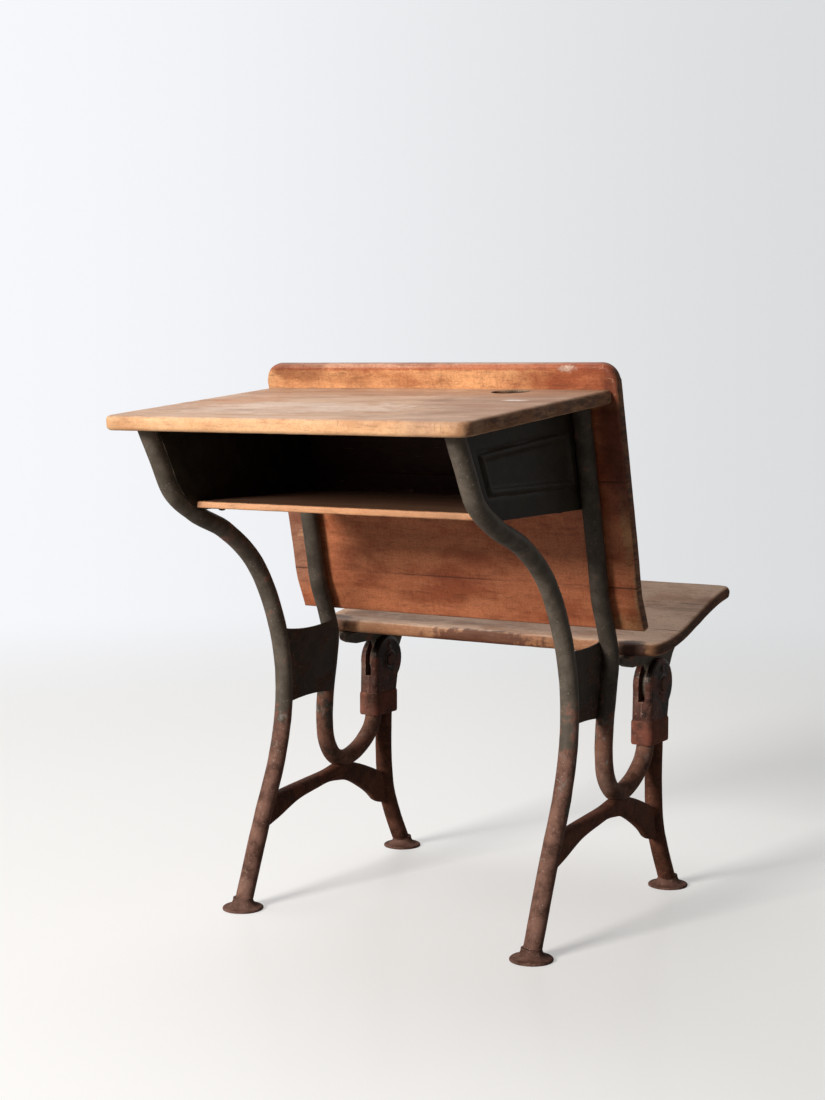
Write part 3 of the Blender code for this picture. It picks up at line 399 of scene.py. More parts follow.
def smooth(obj: bpy.types.Object, angle_deg: float = 40.0) -> None:
    """Shade an object smooth, with edges sharp where they turn more than an angle."""
    obj.data.shade_smooth()
    obj.data.set_sharp_from_angle(angle=math.radians(angle_deg))


def rough_noise(point: Vector, scale: float, seed: float = 0.0) -> float:
    """Smooth noise from -1 to 1 at a point, the same on every run."""
    return noise.noise(Vector(point) * scale + Vector((seed, seed * 0.7, -seed)))


def roughen(obj: bpy.types.Object, amount: float, scale: float, seed: float = 0.0) -> None:
    """Push the surface inwards by up to an amount, unevenly, as old castings and tubes have it."""
    obj.data.update()
    normals = [v.normal.copy() for v in obj.data.vertices]
    for vertex, normal in zip(obj.data.vertices, normals):
        push = 0.5 + 0.5 * rough_noise(vertex.co, scale, seed)
        vertex.co -= normal * amount * push
    obj.data.update()


def sweep(name: str, line: np.ndarray, x: float, radius: float, sides: int = 36) -> bpy.types.Object:
    """Round tube along a line in the plane of a side frame.

    Args:
        name: The object's name.
        line: Its centre line, as (y, z) points.
        x: The plane's x.
        radius: Its radius.
        sides: How many faces go round it.

    Returns:
        The tube, closed at both ends.
    """
    normals = left_normals(line)
    angles = np.linspace(0.0, 2 * math.pi, sides, endpoint=False)
    points = []
    for centre, normal in zip(line, normals):
        for angle in angles:
            y, z = centre + normal * radius * math.sin(angle)
            points.append((x + radius * math.cos(angle), y, z))
    faces = ring_faces(len(line), sides)
    faces.append(tuple(range(sides)))
    faces.append(tuple(range((len(line) - 1) * sides, len(line) * sides)))
    return new_object(name, points, faces)


def evened(line: np.ndarray, pitch: float) -> np.ndarray:
    """The line with its points about a pitch apart."""
    marks = lengths_along(line)
    count = max(2, int(round(marks[-1] / pitch)) + 1)
    spread = np.linspace(0.0, marks[-1], count)
    return np.stack([np.interp(spread, marks, line[:, k]) for k in range(2)], axis=1)


def trim(obj: bpy.types.Object, place: Vector, normal: Vector) -> None:
    """Cut off what lies beyond a plane, on the side its normal points to, and close the cut."""
    edit = bmesh.new()
    edit.from_mesh(obj.data)
    everything = list(edit.verts) + list(edit.edges) + list(edit.faces)
    bmesh.ops.bisect_plane(edit, geom=everything, plane_co=place, plane_no=normal, clear_outer=True)
    rim = [edge for edge in edit.edges if edge.is_boundary]
    bmesh.ops.holes_fill(edit, edges=rim, sides=0)
    bmesh.ops.recalc_face_normals(edit, faces=edit.faces)
    edit.to_mesh(obj.data)
    edit.free()
    smooth(obj)


def plate(name: str, outline: list[Pair], thickness: float, edge: float) -> bpy.types.Object:
    """Flat plate with rounded edges, filled inside an outline in its own XY plane.

    Args:
        name: The object's name.
        outline: The outline.
        thickness: The plate's whole thickness.
        edge: Radius of its rounded edges.

    Returns:
        The plate as a mesh object at the origin.
    """
    curve = bpy.data.curves.new(name, "CURVE")
    curve.dimensions = "2D"
    curve.fill_mode = "BOTH"
    curve.extrude = thickness / 2 - edge
    curve.bevel_depth = edge
    curve.bevel_resolution = 3
    curve.offset = -edge
    spline = curve.splines.new("POLY")
    spline.points.add(len(outline) - 1)
    for point, place in zip(spline.points, outline):
        point.co = (place[0], place[1], 0.0, 1.0)
    spline.use_cyclic_u = True
    source = placed(name, curve)
    bpy.context.view_layer.update()
    mesh = bpy.data.meshes.new_from_object(source.evaluated_get(bpy.context.evaluated_depsgraph_get()))
    bpy.data.objects.remove(source, do_unlink=True)
    bpy.data.curves.remove(curve)
    mend(mesh, WELD)
    mesh.name = name
    obj = placed(name, mesh)
    smooth(obj)
    return obj


def stand_in_frame(obj: bpy.types.Object, x: float) -> None:
    """Turn a plate drawn in (y, z) into the plane of a side frame at an x."""
    turn = Matrix(((0.0, 0.0, 1.0, x), (1.0, 0.0, 0.0, 0.0), (0.0, 1.0, 0.0, 0.0), (0.0, 0.0, 0.0, 1.0)))
    obj.data.transform(turn)
    obj.data.update()


def turned(name: str, profile: list[Pair], steps: int = 40) -> bpy.types.Object:
    """Turned solid about the Z axis from (radius, height) points, from the axis out and back to it."""
    points = []
    for radius, height in profile:
        for angle in np.linspace(0.0, 2 * math.pi, steps, endpoint=False):
            points.append((radius * math.cos(angle), radius * math.sin(angle), height))
    obj = new_object(name, points, ring_faces(len(profile), steps))
    mend(obj.data, WELD)
    smooth(obj)
    return obj


def in_space(point: np.ndarray | Pair, x: float = 0.0) -> Vector:
    """Point or direction of a side frame's plane, at an x."""
    return Vector((x, float(point[0]), float(point[1])))


def turn_to(direction: Vector) -> Matrix:
    """Turn that carries the Z axis to a direction."""
    return direction.to_track_quat("Z", "Y").to_matrix().to_4x4()


# Finishes
@dataclass(frozen=True)
class Field:
    """Noise over a piece: its fineness along each axis, and how a finish's seed shifts it.

    The warp is how far and how finely smooth noise pushes the field about. The span is the noise from
    which its mask begins, and the noise at which it is whole.
    """

    scale: Place
    shift: Place = (1.0, 1.0, 1.0)
    detail: float = 4.0
    rough: float = 0.55
    warp: Pair | None = None
    size: float = 1.0
    span: Pair = (0.0, 1.0)


class Graph:
    """Builds the node tree of one material, step by step."""

    def __init__(self, name: str, tree: bpy.types.NodeTree | None = None) -> None:
        """Start an empty material, or empty the tree that is given.

        Args:
            name: The material's name.
            tree: A world's tree, where there is no material to make.
        """
        if tree is None:
            self.material = bpy.data.materials.new(name)
            self.material.use_nodes = True
            tree = self.material.node_tree
        self.tree = tree
        self.tree.nodes.clear()
        self.coordinates: Socket | None = None

    def add(self, kind: str, feeds: Feeds | None = None, **settings: Setting) -> bpy.types.Node:
        """Add a node.

        Args:
            kind: Its type.
            feeds: What goes into its sockets, by their names or numbers.
            settings: Its own settings.

        Returns:
            The node.
        """
        node = self.tree.nodes.new(kind)
        for key, value in settings.items():
            setattr(node, key, value)
        for key, value in (feeds or {}).items():
            self.feed(node.inputs[key], value)
        return node

    def feed(self, socket: Socket, value: Feed) -> None:
        """Join a socket to another or set its value."""
        if isinstance(value, bpy.types.NodeSocket):
            self.tree.links.new(value, socket)
        elif isinstance(value, tuple) and len(value) == 3 and socket.type == "RGBA":
            socket.default_value = (*value, 1.0)
        else:
            socket.default_value = value

    def place(self) -> Socket:
        """Place on the object in metres."""
        if self.coordinates is None:
            self.coordinates = self.add("ShaderNodeTexCoord").outputs["Object"]
        return self.coordinates

    def normal(self) -> Socket:
        """Direction the surface faces in the object's own space, so it turns with the piece."""
        return self.add("ShaderNodeTexCoord").outputs["Normal"]

    def vector(self, operation: str, first: Socket, second: Socket | Place = (0.0, 0.0, 0.0)) -> Socket:
        """One step of arithmetic on vectors."""
        node = self.add("ShaderNodeVectorMath", {0: first, 1: second}, operation=operation)
        return node.outputs["Value" if operation in ("DOT_PRODUCT", "LENGTH") else "Vector"]

    def axis(self, vector: Socket, index: int) -> Socket:
        """One coordinate of a vector."""
        return self.add("ShaderNodeSeparateXYZ", {0: vector}).outputs[index]

    def scaled(self, scale: Place, shift: Place = (0.0, 0.0, 0.0), turn: Place = (0.0, 0.0, 0.0)) -> Socket:
        """Place on the object, turned, stretched and shifted."""
        feeds = {"Vector": self.place(), "Scale": scale, "Location": shift, "Rotation": turn}
        return self.add("ShaderNodeMapping", feeds).outputs["Vector"]

    def warped(self, vector: Socket, amount: float, scale: float) -> Socket:
        """A vector pushed about by smooth noise."""
        feeds = {"Vector": self.place(), "Scale": scale, "Detail": 2.0}
        push = self.add("ShaderNodeTexNoise", feeds).outputs["Color"]
        push = self.vector("SUBTRACT", push, (0.5, 0.5, 0.5))
        return self.vector("ADD", vector, self.vector("MULTIPLY", push, (amount, amount, amount)))

    def noise(self, vector: Socket, scale: float = 1.0, detail: float = 4.0, rough: float = 0.55) -> Socket:
        """Noise from 0 to 1 over a vector."""
        feeds = {"Vector": vector, "Scale": scale, "Detail": detail, "Roughness": rough}
        return self.add("ShaderNodeTexNoise", feeds).outputs["Fac"]

    def fields(self, table: dict[str, Field], seed: float) -> dict[str, Socket]:
        """Noise of every field in a table, shifted by a seed."""
        made = {}
        for name, each in table.items():
            vector = self.scaled(each.scale, tuple(seed * share for share in each.shift))
            if each.warp:
                vector = self.warped(vector, *each.warp)
            made[name] = self.noise(vector, each.size, each.detail, each.rough)
        return made

    def masks(self, table: dict[str, Field], fields: dict[str, Socket]) -> dict[str, Socket]:
        """Mask of every field in a table that has a span of its own."""
        own = {name: each.span for name, each in table.items() if each.span != Field.span}
        return {name: self.ramp(fields[name], *span) for name, span in own.items()}

    def cells(self, vector: Socket, scale: float) -> bpy.types.Node:
        """Cells over a vector, with the distance to each one's point and its own colour."""
        return self.add("ShaderNodeTexVoronoi", {"Vector": vector, "Scale": scale})

    def math(self, operation: str, first: Value, second: Value = 0.0, clamp: bool = False) -> Socket:
        """One step of arithmetic."""
        feeds = {0: first, 1: second}
        return self.add("ShaderNodeMath", feeds, operation=operation, use_clamp=clamp).outputs[0]

    def swing(self, mask: Value, reach: float) -> Socket:
        """A mask made into a push that goes half a reach to either side."""
        return self.math("MULTIPLY", self.math("SUBTRACT", mask, 0.5), reach)

    def ramp(self, value: Value, low: float, high: float, start: float = 0.0, end: float = 1.0) -> Socket:
        """Smooth step from one value to another as a value passes from low to high."""
        feeds = {"Value": value, "From Min": low, "From Max": high, "To Min": start, "To Max": end}
        return self.add("ShaderNodeMapRange", feeds, interpolation_type="SMOOTHSTEP").outputs["Result"]

    def folded(self, operation: str, values: tuple[Value, ...]) -> Value:
        """Values taken together, one step of arithmetic after another."""
        result = values[0]
        for value in values[1:]:
            result = self.math(operation, result, value)
        return result

    def times(self, *values: Value) -> Value:
        """Product of masks."""
        return self.folded("MULTIPLY", values)

    def most(self, *values: Value) -> Value:
        """Highest of some masks."""
        return self.folded("MAXIMUM", values)

    def mix(self, share: Value, first: Feed, second: Feed, blend: str = "MIX") -> Socket:
        """Blend of two colours."""
        feeds = {0: share, 6: first, 7: second}
        return self.add("ShaderNodeMix", feeds, data_type="RGBA", blend_type=blend).outputs[2]

    def coat(self, under: Feed, tint: Feed, *masks: Value, blend: str = "MIX") -> Socket:
        """A colour with a tint over it where every mask is high."""
        return self.mix(self.times(*masks), under, tint, blend)

    def rises(self) -> Socket:
        """Mask of the surfaces that face up."""
        return self.ramp(self.axis(self.normal(), Z), 0.55, 0.95)

    def facing(self, index: int) -> Socket:
        """How much the surface faces along an axis, from 0 to 1."""
        return self.math("ABSOLUTE", self.axis(self.normal(), index))

    def furthest(self, vector: Socket) -> Socket:
        """Largest coordinate of a vector, whatever its sign."""
        size = self.vector("ABSOLUTE", vector)
        return self.most(*(self.axis(size, index) for index in (X, Y, Z)))

    def spot(self, stain_and_shade: "Stain") -> Socket:
        """Mask that is 1 round a patch's centre and fades out unevenly at its radii."""
        place = self.vector("DIVIDE", self.vector("SUBTRACT", self.place(), stain_and_shade.centre), stain_and_shade.radii)
        reach = self.furthest(place) if stain_and_shade.square else self.vector("LENGTH", place)
        uneven = self.noise(self.place(), 2.2 / max(0.01, min(stain_and_shade.radii)), 3.0)
        reach = self.math("ADD", reach, self.swing(uneven, stain_and_shade.ragged * 2))
        mask = self.ramp(reach, stain_and_shade.core, 1.0, 1.0, 0.0)
        if not stain_and_shade.behind:
            return mask
        return self.times(mask, self.ramp(self.axis(self.normal(), Y), -0.60, -0.25, 1.0, 0.0))

    def edges(self, radius: float, low: float = 0.02, high: float = 0.30) -> Socket:
        """Mask of convex edges within a radius."""
        bevel = self.add("ShaderNodeBevel", {"Radius": radius}, samples=6).outputs[0]
        normal = self.add("ShaderNodeNewGeometry").outputs["Normal"]
        return self.ramp(self.math("SUBTRACT", 1.0, self.vector("DOT_PRODUCT", bevel, normal)), low, high)

    def bumps(self, *reliefs: tuple[Value, float, float]) -> Socket:
        """Normal bent by one relief after another, each a height with its depth and its strength."""
        feeds: Feeds = {}
        for height, depth, strength in reliefs:
            feeds.update({"Distance": depth, "Strength": strength, "Height": height})
            feeds["Normal"] = self.add("ShaderNodeBump", feeds).outputs[0]
        return feeds["Normal"]

    def output(self, shader: Socket) -> None:
        """Use a shader as the material's surface."""
        self.add("ShaderNodeOutputMaterial", {"Surface": shader})

    def surface(
        self, colour: Socket, roughness: Value, metallic: float, specular: float, normal: Socket,
    ) -> None:
        """Finish the material.

        Args:
            colour: Its colour.
            roughness: Its roughness.
            metallic: How metallic it is, all over.
            specular: Its specular level, all over.
            normal: Its normal with the bumps.
        """
        feeds = {"Base Color": colour, "Roughness": roughness, "Metallic": metallic}
        feeds.update({"Specular IOR Level": specular, "Normal": normal})
        self.output(self.add("ShaderNodeBsdfPrincipled", feeds).outputs[0])


class Finish:
    """A finish whose material is made the first time a piece asks for it."""

    name: str

    def material(self) -> bpy.types.Material:
        """Material of the finish."""
        found = bpy.data.materials.get(self.name)
        return found if found else self.make()

    def make(self) -> bpy.types.Material:
        """Make the material."""
        raise NotImplementedError


@dataclass(frozen=True)
class Stain:
    """A patch of another colour at a place on the wood. Most are stains and wear; some are painted shade and
    painted highlight.
    """

    centre: Place
    radii: Place
    colour: Colour
    strength: float = 0.7
    ragged: float = 0.35
    core: float = 0.55
    square: bool = False
    behind: bool = False


@dataclass(frozen=True)
class Joint:
    """Glue line between two boards: the direction across it, and its distance along that direction."""

    across: Place
    distance: float


# Wood: the noise fields, the ends of a joint that gather dust, and the width of a joint in metres
WOOD_FIELDS = {
    "tone": Field((1.1, 12.0, 12.0), detail=3.0, warp=(0.55, 4.0), size=0.55, span=(0.34, 0.66)),
    "patina": Field((5.0, 9.0, 9.0), (1.0, -1.0, 1.0), rough=0.6, span=(0.50, 0.74)),
    "cloud": Field((9.0, 22.0, 22.0), (-1.0, 1.0, 1.0), 6.0, 0.66, (0.5, 12.0), span=(0.42, 0.66)),
    "flame": Field((42.0, 230.0, 230.0), (1.0, 1.0, 0.0), 5.0, 0.68, (0.4, 30.0), span=(0.50, 0.72)),
    "fine": Field((14.0, 620.0, 620.0), (0.0, 1.0, 1.0), 3.0, 0.6, span=(0.58, 0.74)),
    "end": Field((60.0, 34.0, 150.0), detail=6.0, rough=0.66, span=(0.40, 0.60)),
    "curl": Field((330.0, 60.0, 60.0), (1.0, 0.0, 1.0), 3.0, 0.6, span=(0.50, 0.68)),
    "pores": Field((300.0, 520.0, 520.0), (1.0, 1.0, 0.0), rough=0.75, span=(0.44, 0.60)),
    "rubbed": Field((30.0, 45.0, 45.0), (1.0, 0.0, 1.0), span=(0.38, 0.62)),
    "grimy": Field((16.0, 30.0, 30.0), (0.0, 1.0, -1.0), span=(0.52, 0.72)),
    "dusty": Field((6.0, 6.0, 6.0), detail=3.0),
    "nick": Field((170.0, 60.0, 26.0), (1.0, 1.0, 0.0), 3.0, 0.6, span=(0.60, 0.70)),
}
DUSTY_ENDS = (0.225, 0.245)
JOINT_WIDTH = 0.004
RING_TURNS = 70.0


@dataclass(frozen=True)
class OldWood(Finish):
    """Oiled old maple: figure, mottling, grain, dirt, worn arrises, dark end grain, and painted light and
    shade.
    """

    name: str
    pale: Colour
    base: Colour
    ruddy: Colour
    dark: Colour
    end: Colour
    worn: Colour
    # Colour laid on upward faces: painted light and shade from above, on the desk partly wear as well.
    top_shading_and_wear: Colour
    end_dark: Colour = (0.030, 0.016, 0.011)
    top_shading_share: float = 0.0
    cross: float = 0.0
    figure: float = 0.15
    mottle: float = 0.5
    grain: float = 0.30
    dirt: float = 0.5
    wear: float = 0.6
    gloss: float = 0.42
    seed: float = 0.0
    nicks: float = 0.0
    specular: float = 0.22
    end_share: float = 0.92
    pores: float = 0.42
    fine: float = 0.18
    grime: float = 0.55
    scratched: float = 0.22
    specks: float = 0.5
    joint_shows: float = 0.8
    joints: tuple[Joint, ...] = ()
    stains_and_shades: tuple[Stain, ...] = ()

    def make(self) -> bpy.types.Material:
        """Make the material."""
        g = Graph(self.name)
        f = g.fields(WOOD_FIELDS, self.seed)
        masks = g.masks(WOOD_FIELDS, f)
        end = g.ramp(g.facing(X), 0.55, 0.98)
        scratch = self.scratches(g)
        colour = self.worn_down(g, f, masks, scratch, self.grown(g, f, masks, end))
        rough = g.math("ADD", g.times(f["cloud"], 0.20), self.gloss)
        rough = g.math("ADD", rough, g.times(end, 0.2), clamp=True)
        normal = g.bumps(
            (f["fine"], 0.00022, 0.55), (f["flame"], 0.0004, 0.5), (f["patina"], 0.0020, 0.5),
            (g.math("SUBTRACT", 1.0, scratch), 0.0003, 0.6),
        )
        g.surface(colour, rough, 0.0, self.specular, normal)
        return g.material

    def grown(self, g: Graph, f: dict[str, Socket], masks: dict[str, Socket], end: Socket) -> Socket:
        """Colour of the wood as it grew, with its stains and dirt, painted light and shade on upward faces,
        and painted patches.

        Args:
            g: The material's graph.
            f: The noise of its fields.
            masks: The masks of its fields.
            end: Mask of the end grain.

        Returns:
            The colour.
        """
        colour = g.mix(masks["tone"], self.base, self.pale)
        # Upward faces take the top shading colour: painted light and shade from above.
        colour = g.coat(colour, self.top_shading_and_wear, g.rises(), self.top_shading_share)
        # Stains and wear, and patches of painted shade and painted highlight.
        for stain_and_shade in self.stains_and_shades:
            colour = g.coat(colour, stain_and_shade.colour, g.spot(stain_and_shade), stain_and_shade.strength)
        colour = g.coat(colour, g.mix(masks["end"], self.end_dark, self.end), end, self.end_share)
        for name, share in (("cloud", self.mottle), ("curl", self.cross), ("pores", self.pores)):
            colour = g.coat(colour, self.ruddy, masks[name], share, blend="MULTIPLY")
        dirty = g.times(masks["patina"], g.ramp(f["cloud"], 0.35, 0.60))
        for mask, share in (
            (self.rings(g), self.figure), (masks["flame"], self.grain), (masks["fine"], self.fine),
            (dirty, self.dirt),
        ):
            colour = g.coat(colour, self.dark, mask, share)
        return colour

    def worn_down(
        self, g: Graph, f: dict[str, Socket], masks: dict[str, Socket], scratch: Socket, colour: Socket,
    ) -> Socket:
        """Colour with rubbed and grimy edges, dark joints, nicks, scratches and specks.

        Args:
            g: The material's graph.
            f: The noise of its fields.
            masks: The masks of its fields.
            scratch: Mask of the scratches.
            colour: The colour before the wear.

        Returns:
            The colour after it.
        """
        joint = self.joint_mask(g)
        edge = g.times(g.edges(0.0055, 0.01, 0.16), g.ramp(joint, 0.0, 0.2, 1.0, 0.0))
        colour = g.coat(colour, self.worn, edge, masks["rubbed"], self.wear)
        colour = g.coat(colour, self.dark, edge, masks["grimy"], self.grime)
        off_middle = g.math("ABSOLUTE", g.axis(g.place(), X))
        dusty = g.most(g.ramp(f["dusty"], 0.44, 0.64, 0.10, 0.75), g.ramp(off_middle, *DUSTY_ENDS))
        colour = g.coat(colour, self.dark, g.ramp(joint, 0.62, 0.9), dusty, self.joint_shows)
        struck = g.times(masks["nick"], g.ramp(f["patina"], 0.44, 0.56))
        colour = g.coat(colour, self.dark, struck, g.ramp(g.facing(Y), 0.5, 0.9), self.nicks)
        colour = g.coat(colour, self.worn, scratch, self.scratched)
        speck = g.cells(g.warped(g.place(), 0.01, 30.0), 120.0).outputs["Distance"]
        dots = g.times(g.ramp(speck, 0.05, 0.16, 1.0, 0.0), g.ramp(f["patina"], 0.52, 0.60))
        return g.coat(colour, self.dark, dots, self.specks)

    def joint_mask(self, g: Graph) -> Value:
        """How near a point is to a glue line: 1 on it, 0 from JOINT_WIDTH away."""
        masks: list[Value] = [0.0]
        for joint in self.joints:
            along = g.vector("DOT_PRODUCT", g.place(), joint.across)
            off = g.math("ABSOLUTE", g.math("SUBTRACT", along, joint.distance))
            masks.append(g.math("SUBTRACT", 1.0, g.times(off, 1.0 / JOINT_WIDTH), clamp=True))
        return g.most(*masks)

    def rings(self, g: Graph) -> Socket:
        """Growth rings as they show on a flat-sawn board."""
        swirl = g.noise(g.warped(g.scaled((0.9, 7.0, 7.0), (-self.seed, self.seed, 0.0)), 0.3, 3.0), 1.0, 2.0)
        return g.ramp(g.math("SINE", g.times(swirl, RING_TURNS)), -0.4, 1.0)

    def scratches(self, g: Graph) -> Socket:
        """Thin scratches in a few directions."""
        masks = []
        for turn, scale in ((0.5, 7.0), (-0.9, 9.0), (1.4, 6.0)):
            stretched = (scale * 0.5, scale * 5, scale * 5)
            waves = g.noise(g.scaled(stretched, (turn, 0.0, self.seed), (0.0, 0.0, turn)), 1.0, 1.0)
            line = g.ramp(g.math("ABSOLUTE", g.math("SUBTRACT", waves, 0.5)), 0.0, 0.0045, 1.0, 0.0)
            masks.append(g.times(line, g.ramp(g.noise(g.place(), 14.0 + scale, 2.0), 0.60, 0.66)))
        return g.most(*masks)


# Iron: the noise fields and the colour of the flecks
IRON_FIELDS = {
    "broad": Field((9.0, 9.0, 9.0), rough=0.6),
    "blotch": Field((38.0, 38.0, 38.0), (1.0, 0.0, 1.0), 5.0, 0.65, (0.5, 20.0)),
    "grain": Field((260.0, 260.0, 260.0), (0.0, 0.0, 0.0), rough=0.7),
    "left": Field((46.0, 46.0, 30.0), (1.0, -1.0, 1.0), 5.0, 0.7, (0.4, 30.0), span=(0.56, 0.63)),
    "rubbed": Field((70.0, 70.0, 70.0), (1.0, 1.0, 0.0), span=(0.42, 0.62)),
}
FLECK = (0.36, 0.32, 0.27)


@dataclass(frozen=True)
class OldIron(Finish):
    """Black-painted iron that has rusted from the floor up, with pale flecks where the paint is chipped."""

    name: str
    paint: Colour = (0.135, 0.108, 0.084)
    paint_dark: Colour = (0.080, 0.064, 0.048)
    rust: Colour = (0.205, 0.105, 0.076)
    rust_dark: Colour = (0.060, 0.027, 0.018)
    rust_pale: Colour = (0.38, 0.235, 0.180)
    chipped: Colour = (0.21, 0.185, 0.160)
    bare_above: float = 0.38
    rusty_below: float = 0.15
    rust_share: float = 0.0
    flecks: float = 0.8
    chips: float = 0.75
    shine: float = 0.50
    specular: float = 0.10
    metallic: float = 0.0
    wear: float = 0.5
    seed: float = 0.0

    def make(self) -> bpy.types.Material:
        """Make the material."""
        g = Graph(self.name)
        f = g.fields(IRON_FIELDS, self.seed)
        level = g.ramp(g.axis(g.place(), Z), self.rusty_below, self.bare_above, 1.0, 0.0)
        level = g.math("ADD", g.times(level, 1.15), self.rust_share)
        ragged = g.math("ADD", g.swing(f["broad"], 1.6), level)
        rusted = g.ramp(g.math("ADD", ragged, g.swing(f["blotch"], 3.0)), 0.42, 0.66)
        paint = g.mix(g.ramp(f["blotch"], 0.35, 0.68), self.paint_dark, self.paint)
        paint = g.coat(paint, self.rust_dark, g.ramp(f["grain"], 0.5, 0.75), 0.25)
        rust = g.mix(g.ramp(f["blotch"], 0.30, 0.66), self.rust_dark, self.rust)
        rust = g.coat(rust, self.rust_pale, g.ramp(f["grain"], 0.54, 0.74), 0.5)
        rust = g.coat(rust, self.rust_pale, g.ramp(f["broad"], 0.56, 0.75), 0.35)
        colour = self.chipped_off(g, f, level, g.mix(rusted, paint, rust))
        rough = g.math("ADD", g.times(rusted, 0.26), self.shine)
        rough = g.math("ADD", rough, g.swing(f["blotch"], 0.25), clamp=True)
        pitted = g.times(rusted, f["grain"])
        normal = g.bumps((f["grain"], 0.00035, 0.5), (f["blotch"], 0.0008, 0.5), (pitted, 0.0006, 0.6))
        g.surface(colour, rough, self.metallic, self.specular, normal)
        return g.material

    def chipped_off(self, g: Graph, f: dict[str, Socket], level: Socket, colour: Socket) -> Socket:
        """Colour with chips between paint and rust, rubbed edges and pale flecks.

        Args:
            g: The material's graph.
            f: The noise of its fields.
            level: How rusty the iron is at this height.
            colour: The colour before them.

        Returns:
            The colour with them.
        """
        zone = g.times(g.ramp(level, 0.30, 0.70), g.ramp(level, 0.85, 1.10, 1.0, 0.0))
        masks = g.masks(IRON_FIELDS, f)
        colour = g.coat(colour, self.chipped, masks["left"], zone, self.chips)
        colour = g.coat(colour, self.rust_pale, g.edges(0.0022), masks["rubbed"], self.wear)
        cell = g.cells(g.warped(g.place(), 0.004, 80.0), 340.0)
        chosen = g.ramp(g.axis(cell.outputs["Color"], X), 0.80, 0.86)
        fleck = g.times(g.ramp(cell.outputs["Distance"], 0.14, 0.34, 1.0, 0.0), chosen)
        return g.coat(colour, FLECK, fleck, g.ramp(g.noise(g.place(), 26.0, 3.0), 0.42, 0.58), self.flecks)


def glue_lines(line: np.ndarray, shares: tuple[float, ...]) -> tuple[Joint, ...]:
    """The glue lines of a panel whose boards meet at shares of a line's length."""
    marks, normals = lengths_along(line), left_normals(line)
    joints = []
    for share in shares:
        y, z, normal_y, normal_z = (
            float(np.interp(share * marks[-1], marks, values)) for values in (*line.T, *normals.T)
        )
        size = math.hypot(normal_y, normal_z)
        across = (0.0, normal_z / size, -normal_y / size)
        joints.append(Joint(across, across[1] * y + across[2] * z))
    return tuple(joints)


